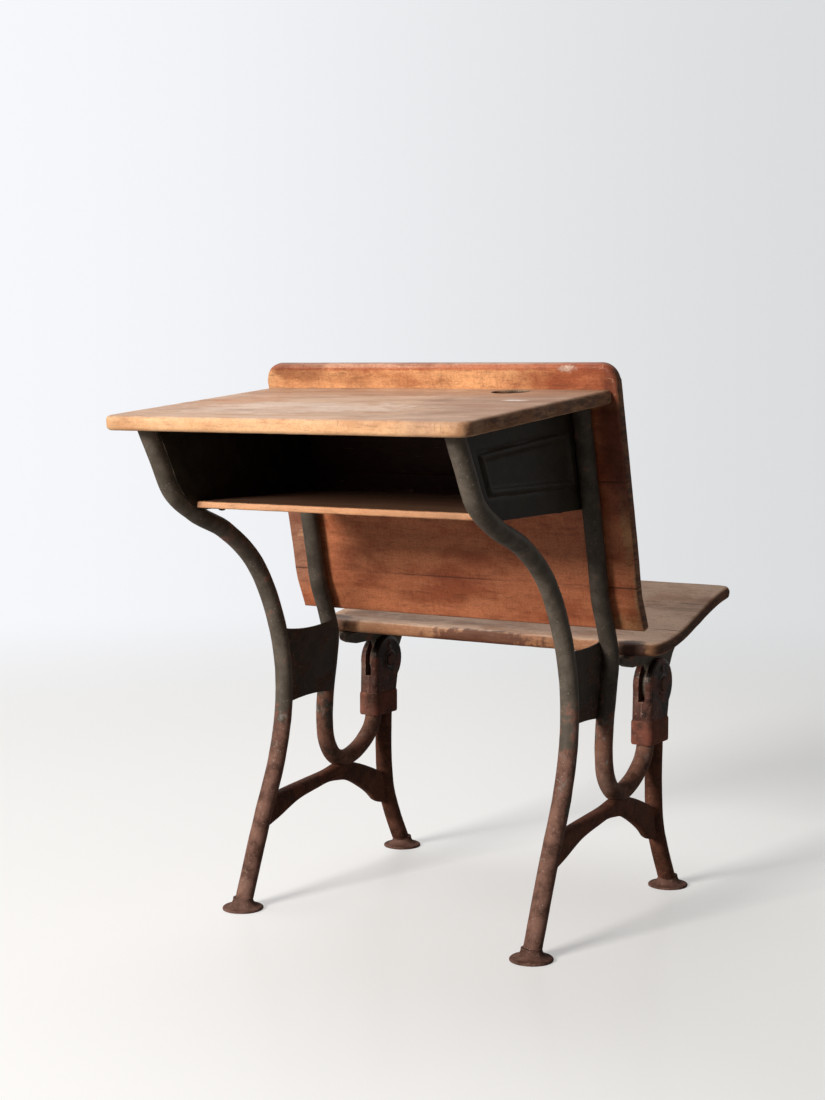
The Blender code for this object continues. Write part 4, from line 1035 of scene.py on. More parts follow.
def make_finishes() -> dict[str, Finish]:
    """The desk's finishes by the names the sub-assemblies ask for."""
    return {
        "paint": OldIron("painted_iron", seed=1.0),
        # Darker paint for the back posts, which stand in shade: painted shade.
        "post": OldIron(
            "shaded_post_iron", seed=1.5, flecks=0.35, paint=(0.092, 0.074, 0.058),
            paint_dark=(0.052, 0.042, 0.032), rust=(0.185, 0.085, 0.056),
        ),
        "web": OldIron(
            "painted_web", seed=2.0, rust_share=0.25, flecks=0.4, chips=0.15, paint=(0.062, 0.048, 0.037),
            paint_dark=(0.036, 0.027, 0.020), rust=(0.062, 0.038, 0.026),
        ),
        "sheet": OldIron(
            "painted_sheet", seed=3.0, rust_share=-0.25, flecks=0.12, shine=0.46, paint=(0.034, 0.028, 0.019),
            paint_dark=(0.020, 0.016, 0.011),
        ),
        "rust": OldIron(
            "rusty_iron", seed=4.0, rust_share=0.45, flecks=0.3, rust=(0.125, 0.046, 0.027),
            rust_dark=(0.045, 0.017, 0.010), rust_pale=(0.27, 0.125, 0.080),
        ),
        "foot": OldIron(
            "rusty_foot", seed=5.0, rust_share=1.0, flecks=0.1, shine=0.6, rust=(0.14, 0.070, 0.052),
        ),
        "knuckle": OldIron(
            "worn_casting", seed=6.0, rust_share=0.25, flecks=0.1, chips=0.12, wear=0.8, metallic=0.35,
            shine=0.34, paint=(0.046, 0.034, 0.027), paint_dark=(0.022, 0.015, 0.012),
            rust=(0.098, 0.038, 0.026), rust_dark=(0.030, 0.013, 0.010),
        ),
        "band": OldIron(
            "rusty_band", seed=7.0, rust_share=0.9, flecks=0.05, rust=(0.20, 0.066, 0.043),
            rust_pale=(0.30, 0.150, 0.110),
        ),
        "arm": OldIron("painted_arm", seed=8.0, rust_share=0.25, flecks=0.05),
        "steel": OldIron(
            "dark_steel", seed=9.0, rust_share=0.35, flecks=0.0, metallic=0.5, shine=0.36,
            paint=(0.060, 0.048, 0.040), paint_dark=(0.030, 0.023, 0.019), rust=(0.080, 0.036, 0.024),
            rust_pale=(0.16, 0.09, 0.065),
        ),
        "desk": OldWood(
            "desk_maple", pale=(0.79, 0.475, 0.255), base=(0.65, 0.35, 0.177), ruddy=(0.76, 0.62, 0.52),
            dark=(0.20, 0.090, 0.045), end=(0.42, 0.230, 0.130), end_dark=(0.12, 0.066, 0.042),
            # The desk's upward faces turn paler grey-pink: partly painted light from above, partly wear from
            # hands.
            worn=(0.84, 0.60, 0.38), top_shading_and_wear=(0.62, 0.41, 0.285), top_shading_share=0.80, cross=0.15, figure=0.16,
            mottle=0.80, grain=0.36, dirt=0.62, nicks=0.55, seed=1.3,
            joints=glue_lines(LINES.desk_line(), LINES.desk_joints), joint_shows=0.30,
            stains_and_shades=(
                Stain((0.25, -0.12, 0.71), (0.20, 0.36, 0.10), (0.36, 0.205, 0.130), 0.70, 0.5),
                Stain((-0.02, -0.075, 0.715), (0.30, 0.045, 0.03), (0.48, 0.235, 0.120), 0.70, 0.75),
                Stain((-0.06, -0.26, 0.70), (0.20, 0.075, 0.04), (0.86, 0.67, 0.54), 0.65, 0.80),
                Stain((-0.19, -0.17, 0.70), (0.07, 0.10, 0.03), (0.62, 0.31, 0.155), 0.60, 0.80),
                Stain(
                    (0.141, -0.0434, 0.71), (0.0285, 0.0285, 0.05), (0.030, 0.016, 0.010),
                    strength=0.95, ragged=0.03, core=0.92,
                ),
                Stain((0.205, -0.151, 0.7155), (0.027, 0.012, 0.01), (0.95, 0.86, 0.80), 1.0, 0.30),
            ),
        ),
        "shelf": OldWood(
            "shelf_maple", pale=(0.72, 0.38, 0.20), base=(0.56, 0.28, 0.14), ruddy=(0.75, 0.60, 0.50),
            dark=(0.06, 0.030, 0.018), end=(0.06, 0.030, 0.018), worn=(0.60, 0.34, 0.19),
            # The shelf's upward face turns near-black: painted shade inside the book box.
            top_shading_and_wear=(0.075, 0.040, 0.026), top_shading_share=0.90, dirt=0.40, seed=5.1,
        ),
        "back": OldWood(
            "back_maple", pale=(0.58, 0.205, 0.092), base=(0.45, 0.138, 0.061), ruddy=(0.58, 0.42, 0.37),
            dark=(0.075, 0.024, 0.012), end=(0.26, 0.125, 0.062), end_dark=(0.085, 0.042, 0.024),
            # The back's upward top edge turns paler: painted light from above.
            worn=(0.80, 0.50, 0.28), top_shading_and_wear=(0.50, 0.33, 0.24), top_shading_share=0.85, cross=0.30, figure=0.08,
            mottle=0.85, grain=0.42, dirt=0.48, wear=0.95, gloss=0.40, seed=2.2,
            joints=glue_lines(LINES.back_line(), LINES.back_joints), joint_shows=0.95,
            stains_and_shades=(
                Stain(
                    (0.0, -0.03, 0.7225), (0.60, 0.10, 0.0270), (0.80, 0.42, 0.19),
                    strength=0.90, ragged=0.14, core=0.84, square=True, behind=True,
                ),
                Stain(
                    (0.27, 0.02, 0.54), (0.012, 0.10, 0.075), (0.56, 0.30, 0.135),
                    strength=0.80, ragged=0.90, core=0.30, behind=True,
                ),
                Stain(
                    (0.26, 0.07, 0.405), (0.030, 0.06, 0.026), (0.56, 0.30, 0.135),
                    strength=0.80, ragged=0.80, core=0.30, behind=True,
                ),
                # Paler band along the rear of the back's rounded top edge: painted highlight.
                Stain(
                    (-0.12, -0.03, 0.7535), (0.26, 0.03, 0.006), (0.66, 0.37, 0.235),
                    strength=0.75, ragged=0.40, behind=True,
                ),
                Stain((0.27, -0.03, 0.73), (0.16, 0.10, 0.045), (0.42, 0.115, 0.045), 0.85, 0.30),
                # Near-black patch on the back's rear face inside the book box: painted shade.
                Stain(
                    (0.0, -0.02, 0.634), (0.24, 0.10, 0.066), (0.024, 0.010, 0.007),
                    strength=0.97, ragged=0.03, core=0.90, square=True, behind=True,
                ),
                Stain((-0.27, 0.02, 0.55), (0.045, 0.08, 0.24), (0.28, 0.14, 0.090), 0.85, 0.30),
                # Dark red patch at the back's right end, in the shade of the box side and desktop: painted
                # shade.
                Stain((0.285, 0.0, 0.66), (0.05, 0.10, 0.16), (0.15, 0.040, 0.020), 0.85, 0.35),
                Stain((0.279, 0.08, 0.43), (0.010, 0.06, 0.11), (0.44, 0.25, 0.125), 0.80, 0.90),
                Stain(
                    (0.207, -0.03, 0.7495), (0.020, 0.03, 0.0075), (0.62, 0.48, 0.38),
                    strength=0.85, ragged=0.45, behind=True,
                ),
            ),
        ),
        "seat": OldWood(
            "seat_maple", pale=(0.44, 0.225, 0.115), base=(0.33, 0.155, 0.078), ruddy=(0.64, 0.48, 0.38),
            dark=(0.070, 0.030, 0.018), end=(0.15, 0.070, 0.040), worn=(0.58, 0.36, 0.21),
            # The seat's upward faces turn paler: painted light on a top that lies in the desk's shade.
            top_shading_and_wear=(0.68, 0.47, 0.33), top_shading_share=0.88, figure=0.06, mottle=0.75, grain=0.40, dirt=0.60,
            nicks=0.25, gloss=0.50, seed=3.7,
            joints=glue_lines(LINES.seat_line(), LINES.seat_joints), joint_shows=0.6,
            stains_and_shades=(
                Stain((0.240, 0.112, 0.367), (0.032, 0.03, 0.030), (0.050, 0.020, 0.013), 0.95, 0.45),
                Stain((-0.26, 0.125, 0.37), (0.05, 0.04, 0.03), (0.055, 0.022, 0.014), 0.8, 0.5),
                Stain((0.01, 0.112, 0.366), (0.11, 0.02, 0.020), (0.10, 0.032, 0.018), 0.85, 0.8),
            ),
        ),
    }


# Boards: the pitches of their grid lines, and how far in from an edge they are worn, in metres
PITCH_ACROSS = 0.010
PITCH_ALONG = 0.007
WORN_EDGE = 0.012


@dataclass(frozen=True)
class Rounding:
    """How far each edge of a board is rounded, and its corners in plan."""

    near: float
    far: float
    sides: float
    near_corner: float = 0.0
    far_corner: float = 0.0


@dataclass
class Board:
    """One board of a panel, worn at its edges and bent along a line."""

    name: str
    width: float
    start: float
    end: float
    thickness: float
    rounding: Rounding
    line: np.ndarray
    lift: float = 0.0
    wear: float = 0.0006
    seed: float = 0.0

    def marks(self, length: float, low: Pair, high: Pair, pitch: float) -> list[float]:
        """Grid lines from 0 to a length, close together at rounded ends.

        Args:
            length: The length to divide.
            low: Edge round and corner radius at its start.
            high: Edge round and corner radius at its end.
            pitch: Distance between grid lines away from the ends.

        Returns:
            The places of the grid lines, in order.
        """
        marks = {0.0, length}
        for (round_edge, corner), start, sign in ((low, 0.0, 1.0), (high, length, -1.0)):
            for step in range(1, 7):
                marks.add(start + sign * round_edge * (1.0 - math.cos(math.pi / 12 * step)))
            for step in range(1, 7):
                if corner:
                    marks.add(start + sign * corner * step / 6)
        reach_low = max(low)
        reach_high = length - max(high)
        count = max(1, int(round((reach_high - reach_low) / pitch)))
        for step in range(count + 1):
            marks.add(reach_low + (reach_high - reach_low) * step / count)
        kept = []
        for mark in sorted(marks):
            if not kept or mark - kept[-1] > 0.00005:
                kept.append(mark)
        kept[-1] = length
        return kept

    def plan(self, u: float, v: float) -> tuple[float, float, float, dict[str, float]]:
        """Where a grid point lies in plan, and how far it is from each edge.

        Args:
            u: Distance across, from the middle.
            v: Distance along, from the board's start.

        Returns:
            Its x, its distance along, its distance from the outline, and the distances by edge.
        """
        half, length = self.width / 2, self.end - self.start
        near_c, far_c = self.rounding.near_corner, self.rounding.far_corner
        for corner, at, sign in ((near_c, near_c, -1.0), (far_c, length - far_c, 1.0)):
            if not corner:
                continue
            a = (abs(u) - (half - corner)) / corner
            b = sign * (v - at) / corner
            if a > 0.0 and b > 0.0:
                reach = max(a, b)
                turn = math.pi / 4 * (b / a) if a >= b else math.pi / 2 - math.pi / 4 * (a / b)
                x = math.copysign(half - corner + corner * reach * math.cos(turn), u)
                along = at + sign * corner * reach * math.sin(turn)
                gap = corner * (1.0 - reach)
                return x, along, gap, {"sides": gap, "near" if sign < 0 else "far": gap}
        gaps = {"sides": half - abs(u), "near": v, "far": length - v}
        return u, v, min(gaps.values()), gaps

    def drop(self, gaps: dict[str, float]) -> float:
        """How far the rounded edges lower the surface at given distances from them."""
        most = 0.0
        for edge, gap in gaps.items():
            radius = getattr(self.rounding, edge)
            if gap < radius:
                most = max(most, radius - math.sqrt(max(0.0, radius**2 - (radius - gap) ** 2)))
        return most

    def build(self) -> bpy.types.Object:
        """Build the board.

        Returns:
            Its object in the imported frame.
        """
        r = self.rounding
        across = self.marks(self.width, (r.sides, r.near_corner), (r.sides, r.near_corner), PITCH_ACROSS)
        along = self.marks(self.end - self.start, (r.near, r.near_corner), (r.far, r.far_corner), PITCH_ALONG)
        marks, normals = lengths_along(self.line), left_normals(self.line)
        points: list[Place] = []
        for top in (True, False):
            for v in along:
                for column in across:
                    x, y, gap, gaps = self.plan(column - self.width / 2, v)
                    height = self.thickness - self.drop(gaps) if top else self.drop(gaps)
                    dent = self.dent(Vector((x, self.start + y, height)), max(0.0, 1.0 - gap / WORN_EDGE))
                    height += -dent if top else dent
                    points.append(self.bent(x, self.start + y, height, marks, normals))
        return new_object(self.name, points, sheet_faces(len(along), len(across)))

    def dent(self, spot: Vector, near_edge: float) -> float:
        """How deep use has dented a spot, which goes deeper near the edges."""
        dent = self.wear * (0.25 + near_edge) * (0.5 + 0.5 * rough_noise(spot, 55.0, self.seed))
        return dent + 0.4 * self.wear * near_edge * (0.5 + 0.5 * rough_noise(spot, 260.0, self.seed))

    def bent(self, x: float, along: float, height: float, marks: np.ndarray, normals: np.ndarray) -> Place:
        """Point of the flat panel carried onto the board's line."""
        y, z, normal_y, normal_z = (
            np.interp(along, marks, values) for values in (*self.line.T, *normals.T)
        )
        rise = (height + self.lift) / math.hypot(normal_y, normal_z)
        return (x, float(y + normal_y * rise), float(z + normal_z * rise))


@dataclass
class Panel:
    """Boards side by side along a line, each with its own worn edges.

    A gap below zero lets the boards overlap a little, so no light shows through a joint.
    """

    names: tuple[str, ...]
    joints: tuple[float, ...]
    rounds: tuple[Rounding, ...]
    line: np.ndarray
    width: float
    thickness: float
    seed_rate: float
    seed_start: float = 0.0
    lift: float = 0.0
    gap: float = -0.0002

    def boards(self) -> list[tuple[str, bpy.types.Object]]:
        """Build the boards in order, each with the name of its solid."""
        length = lengths_along(self.line)[-1]
        cuts = [joint * length for joint in self.joints]
        starts = [0.0] + [cut + self.gap / 2 for cut in cuts]
        ends = [cut - self.gap / 2 for cut in cuts] + [length]
        made = []
        for name, start, end, rounding in zip(self.names, starts, ends, self.rounds):
            seed = start * self.seed_rate + self.seed_start
            board = Board(f"{name}_board", self.width, start, end, self.thickness, rounding, self.line)
            board.lift, board.seed = self.lift, seed
            made.append((name, board.build()))
        return made


def keep_inside(obj: bpy.types.Object) -> None:
    """Hold the points of a piece inside the box of the solids."""
    low, high = CAD_BOX
    for vertex in obj.data.vertices:
        vertex.co = [min(max(value, least), most) for value, least, most in zip(vertex.co, low, high)]


def hand_over(obj: bpy.types.Object, body: Body, slot: Slot, finish: "Finish", *nodes: str) -> None:
    """Give a piece its finish, let it ride on a body and let it stand for solids.

    Args:
        obj: The piece.
        body: The body that it moves with.
        slot: A material slot; not used.
        finish: Its finish.
        nodes: The solids that it stands for.
    """
    keep_inside(obj)
    obj.data.materials.clear()
    obj.data.materials.append(finish.material())
    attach(obj, body.value)
    if nodes:
        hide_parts(*nodes)
    LOG.info("%s: %d faces on %s", obj.name, len(obj.data.polygons), body.value)


# Sub-assemblies
@dataclass
class TubeWork:
    """The three bent tubes of each side frame."""

    lines: DeskLines
    paint: "Finish"
    # Finish of the back posts, darkened as painted shade.
    shaded_post_finish: "Finish"
    rust: "Finish"
    foot_top: float = 0.0143
    pitch: float = 0.006
    wear: float = 0.0005
    wear_scale: float = 60.0

    def build(self) -> None:
        """Build the desk legs, back posts and seat legs of both sides."""
        under = self.lines.desk_line()[0] - self.lines.desk_up * self.lines.fit
        for side in Side:
            x = side.value * self.lines.frame_x
            for name, line, finish, slot in (
                ("desk_leg", self.lines.desk_leg(), self.paint, Slot.PAINT),
                ("back_post", self.lines.post(), self.shaded_post_finish, Slot.PAINT),
                ("seat_leg", self.lines.seat_leg(), self.rust, Slot.RUST),
            ):
                tube = sweep(f"{name}_tube_{side.label}", evened(line, self.pitch), x, self.lines.tube_radius)
                if name != "seat_leg":
                    trim(tube, in_space(under), in_space(self.lines.desk_up))
                if name != "back_post":
                    trim(tube, in_space((0.0, self.foot_top)), in_space((0.0, -1.0)))
                roughen(tube, self.wear, self.wear_scale, side.value * 3.0)
                hand_over(tube, Body.FRAME, slot, finish, f"{name}_{side.label}")


@dataclass
class Feet:
    """Dished floor flanges under the legs."""

    lines: DeskLines
    finish: "Finish"
    radius: float = 0.0292
    height: float = 0.0165
    edge: float = 0.0042
    neck: float = 0.0138
    rim: tuple[Pair, ...] = ((0.0016, 0.0002), (0.0005, 0.0010), (0.0, 0.0022))
    foot_edge: tuple[Pair, ...] = ((0.0004, 0.0004), (0.0012, 0.0))
    flare_inset: float = 0.004
    leg_height: float = 0.007
    rim_pull: float = 0.0011
    pits: float = 0.0005

    def build(self) -> None:
        """Build the four feet."""
        profile = [(0.0, self.height), (self.neck, self.height)]
        for angle in np.radians(np.linspace(10, 90, 9)):
            reach = self.radius - self.flare_inset - self.neck
            out = self.neck + reach * (1.0 - math.cos(angle))
            profile.append((out, self.height - (self.height - self.edge) * math.sin(angle)))
        profile += [(self.radius - inset, self.edge - drop) for inset, drop in self.rim]
        profile += [(self.radius - inset, height) for inset, height in self.foot_edge] + [(0.0, 0.0)]
        for side in Side:
            for name, line in (("desk_foot", self.lines.desk_leg()), ("seat_foot", self.lines.seat_leg())):
                foot = turned(f"{name}_flange_{side.label}", profile, 48)
                y = place_at(line, self.leg_height)
                foot.data.transform(Matrix.Translation((side.value * self.lines.frame_x, y, 0.0)))
                self.wear_rim(foot, Vector((side.value * self.lines.frame_x, y, 0.0)), y * 40 + side.value)
                hand_over(foot, Body.FRAME, Slot.RUST, self.finish, f"{name}_{side.label}")

    def wear_rim(self, foot: bpy.types.Object, centre: Vector, seed: float) -> None:
        """Draw the rim in a little, unevenly, and pit the casting."""
        for vertex in foot.data.vertices:
            out = Vector((vertex.co.x - centre.x, vertex.co.y - centre.y, 0.0))
            share = out.length / self.radius
            pull = self.rim_pull * share**4 * (0.5 + 0.5 * rough_noise(vertex.co, 45.0, seed))
            if out.length > 0.001:
                vertex.co -= out.normalized() * pull
            if vertex.co.z > 0.001:
                vertex.co.z -= self.pits * share * (0.5 + 0.5 * rough_noise(vertex.co, 90.0, seed))
        foot.data.update()


@dataclass
class ArchBrace:
    """Cast arch that ties the legs of a side frame under the bend of the post."""

    lines: DeskLines
    finish: "Finish"
    thickness: float = 0.020
    edge: float = 0.0065
    thin_share: float = 0.45
    top_shares: tuple[Pair, ...] = (
        (0.000, 0.647), (0.058, 0.667), (0.130, 0.678), (0.300, 0.696), (0.469, 0.714), (0.582, 0.737),
        (0.647, 0.727), (0.756, 0.690), (0.875, 0.633), (1.000, 0.556),
    )
    bottom_shares: tuple[Pair, ...] = (
        (0.000, 0.459), (0.102, 0.510), (0.229, 0.580), (0.388, 0.618), (0.481, 0.633), (0.555, 0.625),
        (0.646, 0.605), (0.779, 0.520), (0.845, 0.455), (0.881, 0.400), (1.000, 0.345),
    )

    def between(self, pairs: tuple[Pair, ...]) -> list[Pair]:
        """Points from pairs of shares: the way between the legs, and the collar's lower edge."""
        points = []
        for across, up in pairs:
            height = up * self.lines.collar_bottom
            start = place_at(self.lines.desk_leg(), height)
            end = place_at(self.lines.seat_leg(), height)
            points.append((start + across * (end - start), height))
        return points

    def build(self) -> None:
        """Build the arch of both sides."""
        top = smooth_line(self.between(self.top_shares), 6)
        bottom = smooth_line(self.between(self.bottom_shares), 6)
        outline = [tuple(point) for point in np.vstack((top[::-1], bottom))]
        for side in Side:
            arch = plate(f"arch_casting_{side.label}", outline, self.thickness, self.edge)
            stand_in_frame(arch, side.value * self.lines.frame_x)
            self.thin(arch, side.value * self.lines.frame_x, top[0][0], top[-1][0])
            hand_over(arch, Body.FRAME, Slot.RUST, self.finish, f"arch_brace_{side.label}")

    def thin(self, arch: bpy.types.Object, x: float, start: float, end: float) -> None:
        """Thin the arch from its middle to its end at the seat leg.

        Args:
            arch: The arch.
            x: Place of its middle plane.
            start: Where it begins at the desk leg.
            end: Where it ends in the seat leg.
        """
        for vertex in arch.data.vertices:
            share = min(1.0, max(0.0, 2 * (vertex.co.y - start) / (end - start) - 1.0))
            vertex.co.x = x + (vertex.co.x - x) * (1.0 - self.thin_share * share)


@dataclass
class WebPlate:
    """Stiffening plate between desk leg and post, with rolled upper and lower edges."""

    lines: DeskLines
    finish: "Finish"
    low: float = 0.2774
    height: float = 0.1075
    thickness: float = 0.004
    edge: float = 0.0014
    sag: float = 0.006
    rise: float = 0.004
    lap: float = 0.006
    off_plane: float = 0.0095

    def build(self) -> None:
        """Build the plate of both sides."""
        high = self.low + self.height
        leg = stretch(self.lines.desk_leg(), self.low, high)
        falling = self.lines.falling_post()
        post = stretch(falling + self.lap * left_normals(falling), self.low, high)
        outline = self.hung(leg[0], post[0], -self.rise) + [tuple(p) for p in post[1:-1]]
        outline += self.hung(post[-1], leg[-1], self.sag) + [tuple(p) for p in leg[-2:0:-1]]
        for side in Side:
            web = plate(f"web_casting_{side.label}", outline, self.thickness, self.edge)
            stand_in_frame(web, side.value * (self.lines.frame_x - self.off_plane))
            hand_over(web, Body.FRAME, Slot.PAINT, self.finish, f"web_plate_{side.label}")

    def hung(self, start: np.ndarray, end: np.ndarray, sag: float) -> list[Pair]:
        """Points from start to end on a shallow curve that hangs by a sag."""
        shares = np.linspace(0.0, 1.0, 15)
        return [tuple(start + (end - start) * t - np.array((0.0, 4 * sag * t * (1 - t)))) for t in shares]


@dataclass
class BoxSide:
    """Pressed side of the book box: a sheet with a raised bead round a sunk panel, and two flanges."""

    lines: DeskLines
    finish: "Finish"
    low: float = 0.5647
    sheet: float = 0.0025
    bead: Place = (0.0024, 0.030, 0.0042)
    step: Place = (0.0011, 0.0345, 0.0006)
    groove: Place = (0.0009, 0.0235, 0.0016)
    proud: float = 0.0010
    sunk: float = 0.0012
    border: float = 0.006
    top_border: float = 0.008
    flange: float = 0.022
    flange_start: float = 0.024
    leg_inset: float = 0.003
    post_lap: float = 0.002
    rows: int = 64
    columns: int = 110

    def swell(self, gap: float) -> float:
        """How far the sheet stands out at a distance from its border: border, bead and sunk panel."""
        bead, bead_at, bead_width = self.bead
        step, step_at, step_width = self.step
        groove, groove_at, groove_width = self.groove
        swell = bead * math.exp(-(((gap - bead_at) / bead_width) ** 4))
        swell += step / (1.0 + math.exp((gap - step_at) / step_width))
        swell -= groove * math.exp(-(((gap - groove_at) / groove_width) ** 2))
        return swell + self.proud

    def outline_at(self, share: float) -> Ends:
        """Front and rear ends of the sheet at a share of its height, as (y, z) twice."""
        leg, falling = self.lines.desk_leg() + np.array((self.leg_inset, 0.0)), self.lines.falling_post()
        post = falling + self.post_lap * left_normals(falling)
        tops = [self.lines.meeting_height(line, self.lines.fit) for line in (leg, post)]
        heights = [self.low + share * (top - self.low) for top in tops]
        return (place_at(leg, heights[0]), heights[0], place_at(post, heights[1]), heights[1])

    def build(self) -> None:
        """Build the side of both ends of the box."""
        ends = [self.outline_at(i / (self.rows - 1)) for i in range(self.rows)]
        inner = self.lines.frame_x - self.lines.tube_radius - self.lines.fit
        for side in Side:
            outer_face, inner_face = [], []
            for i, (y0, z0, y1, z1) in enumerate(ends):
                for j in range(self.columns):
                    t = j / (self.columns - 1)
                    y, z = y0 + t * (y1 - y0), z0 + t * (z1 - z0)
                    gap = min(self.gaps(i, y, z, ends))
                    out = self.swell(gap)
                    outer_face.append((side.value * (inner - self.sunk + out), y, z))
                    pressed = min(out, self.proud) * 0.5
                    inner_face.append((side.value * (inner - self.sheet + pressed), y, z))
            faces = sheet_faces(self.rows, self.columns, alike=True)
            sheet = new_object(f"box_pressing_{side.label}", outer_face + inner_face, faces)
            self.add_flanges(sheet, side, inner, ends)
            hand_over(sheet, Body.FRAME, Slot.PAINT, self.finish, f"box_side_{side.label}")

    def gaps(self, row: int, y: float, z: float, ends: list[Ends]) -> list[float]:
        """Distances of a point from the leg's edge, the post's edge, the lower and the upper border."""
        y0, _, y1, _ = ends[row]
        rise = math.tan(self.lines.desk_tilt)
        top = ends[-1][1] + (y - ends[-1][0]) * rise
        lean = math.cos(math.atan2(ends[-1][0] - ends[0][0], ends[-1][1] - ends[0][1]))
        leg_gap = (y - y0) * lean - self.lines.tube_radius - self.border
        post_gap = (y1 - y) + self.border
        return [max(leg_gap, 0.0), post_gap, z - self.low - self.border, (top - z) - self.top_border]

    def add_flanges(self, sheet: bpy.types.Object, side: Side, inner: float, ends: list[Ends]) -> None:
        """Join the flanges under the desktop and under the shelf to the sheet."""
        edit = bmesh.new()
        edit.from_mesh(sheet.data)
        for (y0, z0, y1, z1), drop in ((ends[-1], -self.sheet), (ends[0], self.sheet)):
            z0 += self.flange_start * (z1 - z0) / (y1 - y0)
            y0 += self.flange_start
            made = [
                edit.verts.new((side.value * x, y, z + step))
                for x in (inner - self.sheet / 2, inner - self.flange)
                for y, z in ((y0, z0), (y1, z1)) for step in (0.0, drop)
            ]
            for quad in BOX_FACES:
                edit.faces.new([made[k] for k in quad])
        bmesh.ops.recalc_face_normals(edit, faces=edit.faces)
        edit.to_mesh(sheet.data)
        edit.free()
        smooth(sheet)


@dataclass
class DeskTop:
    """Two boards of the sloping top, the far one with the ink-well hole."""

    lines: DeskLines
    finish: "Finish"
    side_reach: float = 0.0395
    gap: float = 0.0004
    hole_x: float = 0.141
    hole_inset: float = 0.036
    hole_radius: float = 0.0255
    hole_rim: float = 0.0016
    cutter_low: float = -0.010
    cutter_high: float = 0.040

    def build(self) -> None:
        """Build the two boards and cut the ink-well hole."""
        panel = Panel(
            ("desktop_near", "desktop_far"), self.lines.desk_joints,
            (Rounding(0.0055, 0.0006, 0.0050, near_corner=0.016), Rounding(0.0006, 0.0020, 0.0050)),
            evened(self.lines.desk_line(), 0.01), 2 * (self.lines.frame_x + self.side_reach),
            self.lines.desk_thickness, seed_rate=30.0, gap=self.gap,
        )
        for name, board in panel.boards():
            if name == "desktop_far":
                self.cut_hole(board)
            hand_over(board, Body.FRAME, Slot.DESK, self.finish, name)

    def cut_hole(self, board: bpy.types.Object) -> None:
        """Cut the ink-well hole square to the board, with a worn rim."""
        centre = self.lines.desk_line()[1] - self.lines.desk_run * self.hole_inset
        radius, wide, top = self.hole_radius, self.hole_radius + self.hole_rim, self.lines.desk_thickness
        profile = [(0.0, self.cutter_low), (radius, self.cutter_low), (radius, top - 0.0012)]
        profile += [(wide, top + 0.0004), (wide, self.cutter_high), (0.0, self.cutter_high)]
        cutter = turned("ink_hole_cutter", profile, 64)
        cutter.data.transform(turn_to(in_space(self.lines.desk_up)))
        cutter.data.transform(Matrix.Translation(in_space(centre, self.hole_x)))
        apply_boolean(board, cutter)


def apply_boolean(target: bpy.types.Object, cutter: bpy.types.Object) -> None:
    """Cut the cutter out of the target and remove it."""
    modifier = target.modifiers.new("cut", "BOOLEAN")
    modifier.operation = "DIFFERENCE"
    modifier.object = cutter
    bpy.context.view_layer.update()
    depsgraph = bpy.context.evaluated_depsgraph_get()
    mesh = bpy.data.meshes.new_from_object(target.evaluated_get(depsgraph))
    target.modifiers.clear()
    target.data = mesh
    bpy.data.objects.remove(cutter, do_unlink=True)
    smooth(target)


@dataclass
class BookShelf:
    """Floor of the book box."""

    lines: DeskLines
    finish: "Finish"
    height: float = 0.5675
    thickness: float = 0.010

    def build(self) -> None:
        """Build the shelf between desk leg and back."""
        front = place_at(self.lines.desk_leg(), self.height)
        rear = place_at(self.lines.back_face(), self.height + self.thickness) - self.lines.fit
        line = evened(np.array(((front, self.height), (rear, self.height))), 0.01)
        width = 2 * (self.lines.frame_x - self.lines.tube_radius - 2 * self.lines.fit - 0.0026)
        rounding = Rounding(0.0026, 0.0010, 0.0006)
        board = Board("book_shelf_board", width, 0.0, rear - front, self.thickness, rounding, line, seed=4.0)
        hand_over(board.build(), Body.FRAME, Slot.DESK, self.finish, "book_shelf")


@dataclass
class SeatBack:
    """Three boards of the back on the posts."""

    lines: DeskLines
    finish: "Finish"
    side_reach: float = 0.0485
    thickness: float = 0.0185

    def build(self) -> None:
        """Build the three boards from the top down."""
        panel = Panel(
            ("back_top", "back_middle", "back_bottom"), self.lines.back_joints,
            (
                Rounding(0.0060, 0.0005, 0.0036, near_corner=0.024),
                Rounding(0.0005, 0.0005, 0.0036),
                Rounding(0.0005, 0.0048, 0.0036),
            ),
            self.lines.back_line(), 2 * (self.lines.frame_x + self.side_reach), self.thickness,
            seed_rate=17.0, seed_start=2.0, lift=self.lines.tube_radius + self.lines.fit,
        )
        for name, board in panel.boards():
            hand_over(board, Body.FRAME, Slot.BACK, self.finish, name)


@dataclass
class FoldingSeat:
    """Three dished boards of the seat."""

    lines: DeskLines
    finish: "Finish"
    side_reach: float = 0.0515

    def build(self) -> None:
        """Build the three boards from the rear forward."""
        panel = Panel(
            ("seat_rear", "seat_middle", "seat_front"), self.lines.seat_joints,
            (
                Rounding(0.0060, 0.0005, 0.0055, near_corner=0.022),
                Rounding(0.0005, 0.0005, 0.0055),
                Rounding(0.0005, 0.0085, 0.0055, far_corner=0.012),
            ),
            self.lines.seat_line(), 2 * (self.lines.frame_x + self.side_reach), self.lines.seat_thickness,
            seed_rate=11.0, seed_start=7.0,
        )
        for name, board in panel.boards():
            hand_over(board, Body.SEAT, Slot.SEAT, self.finish, name)


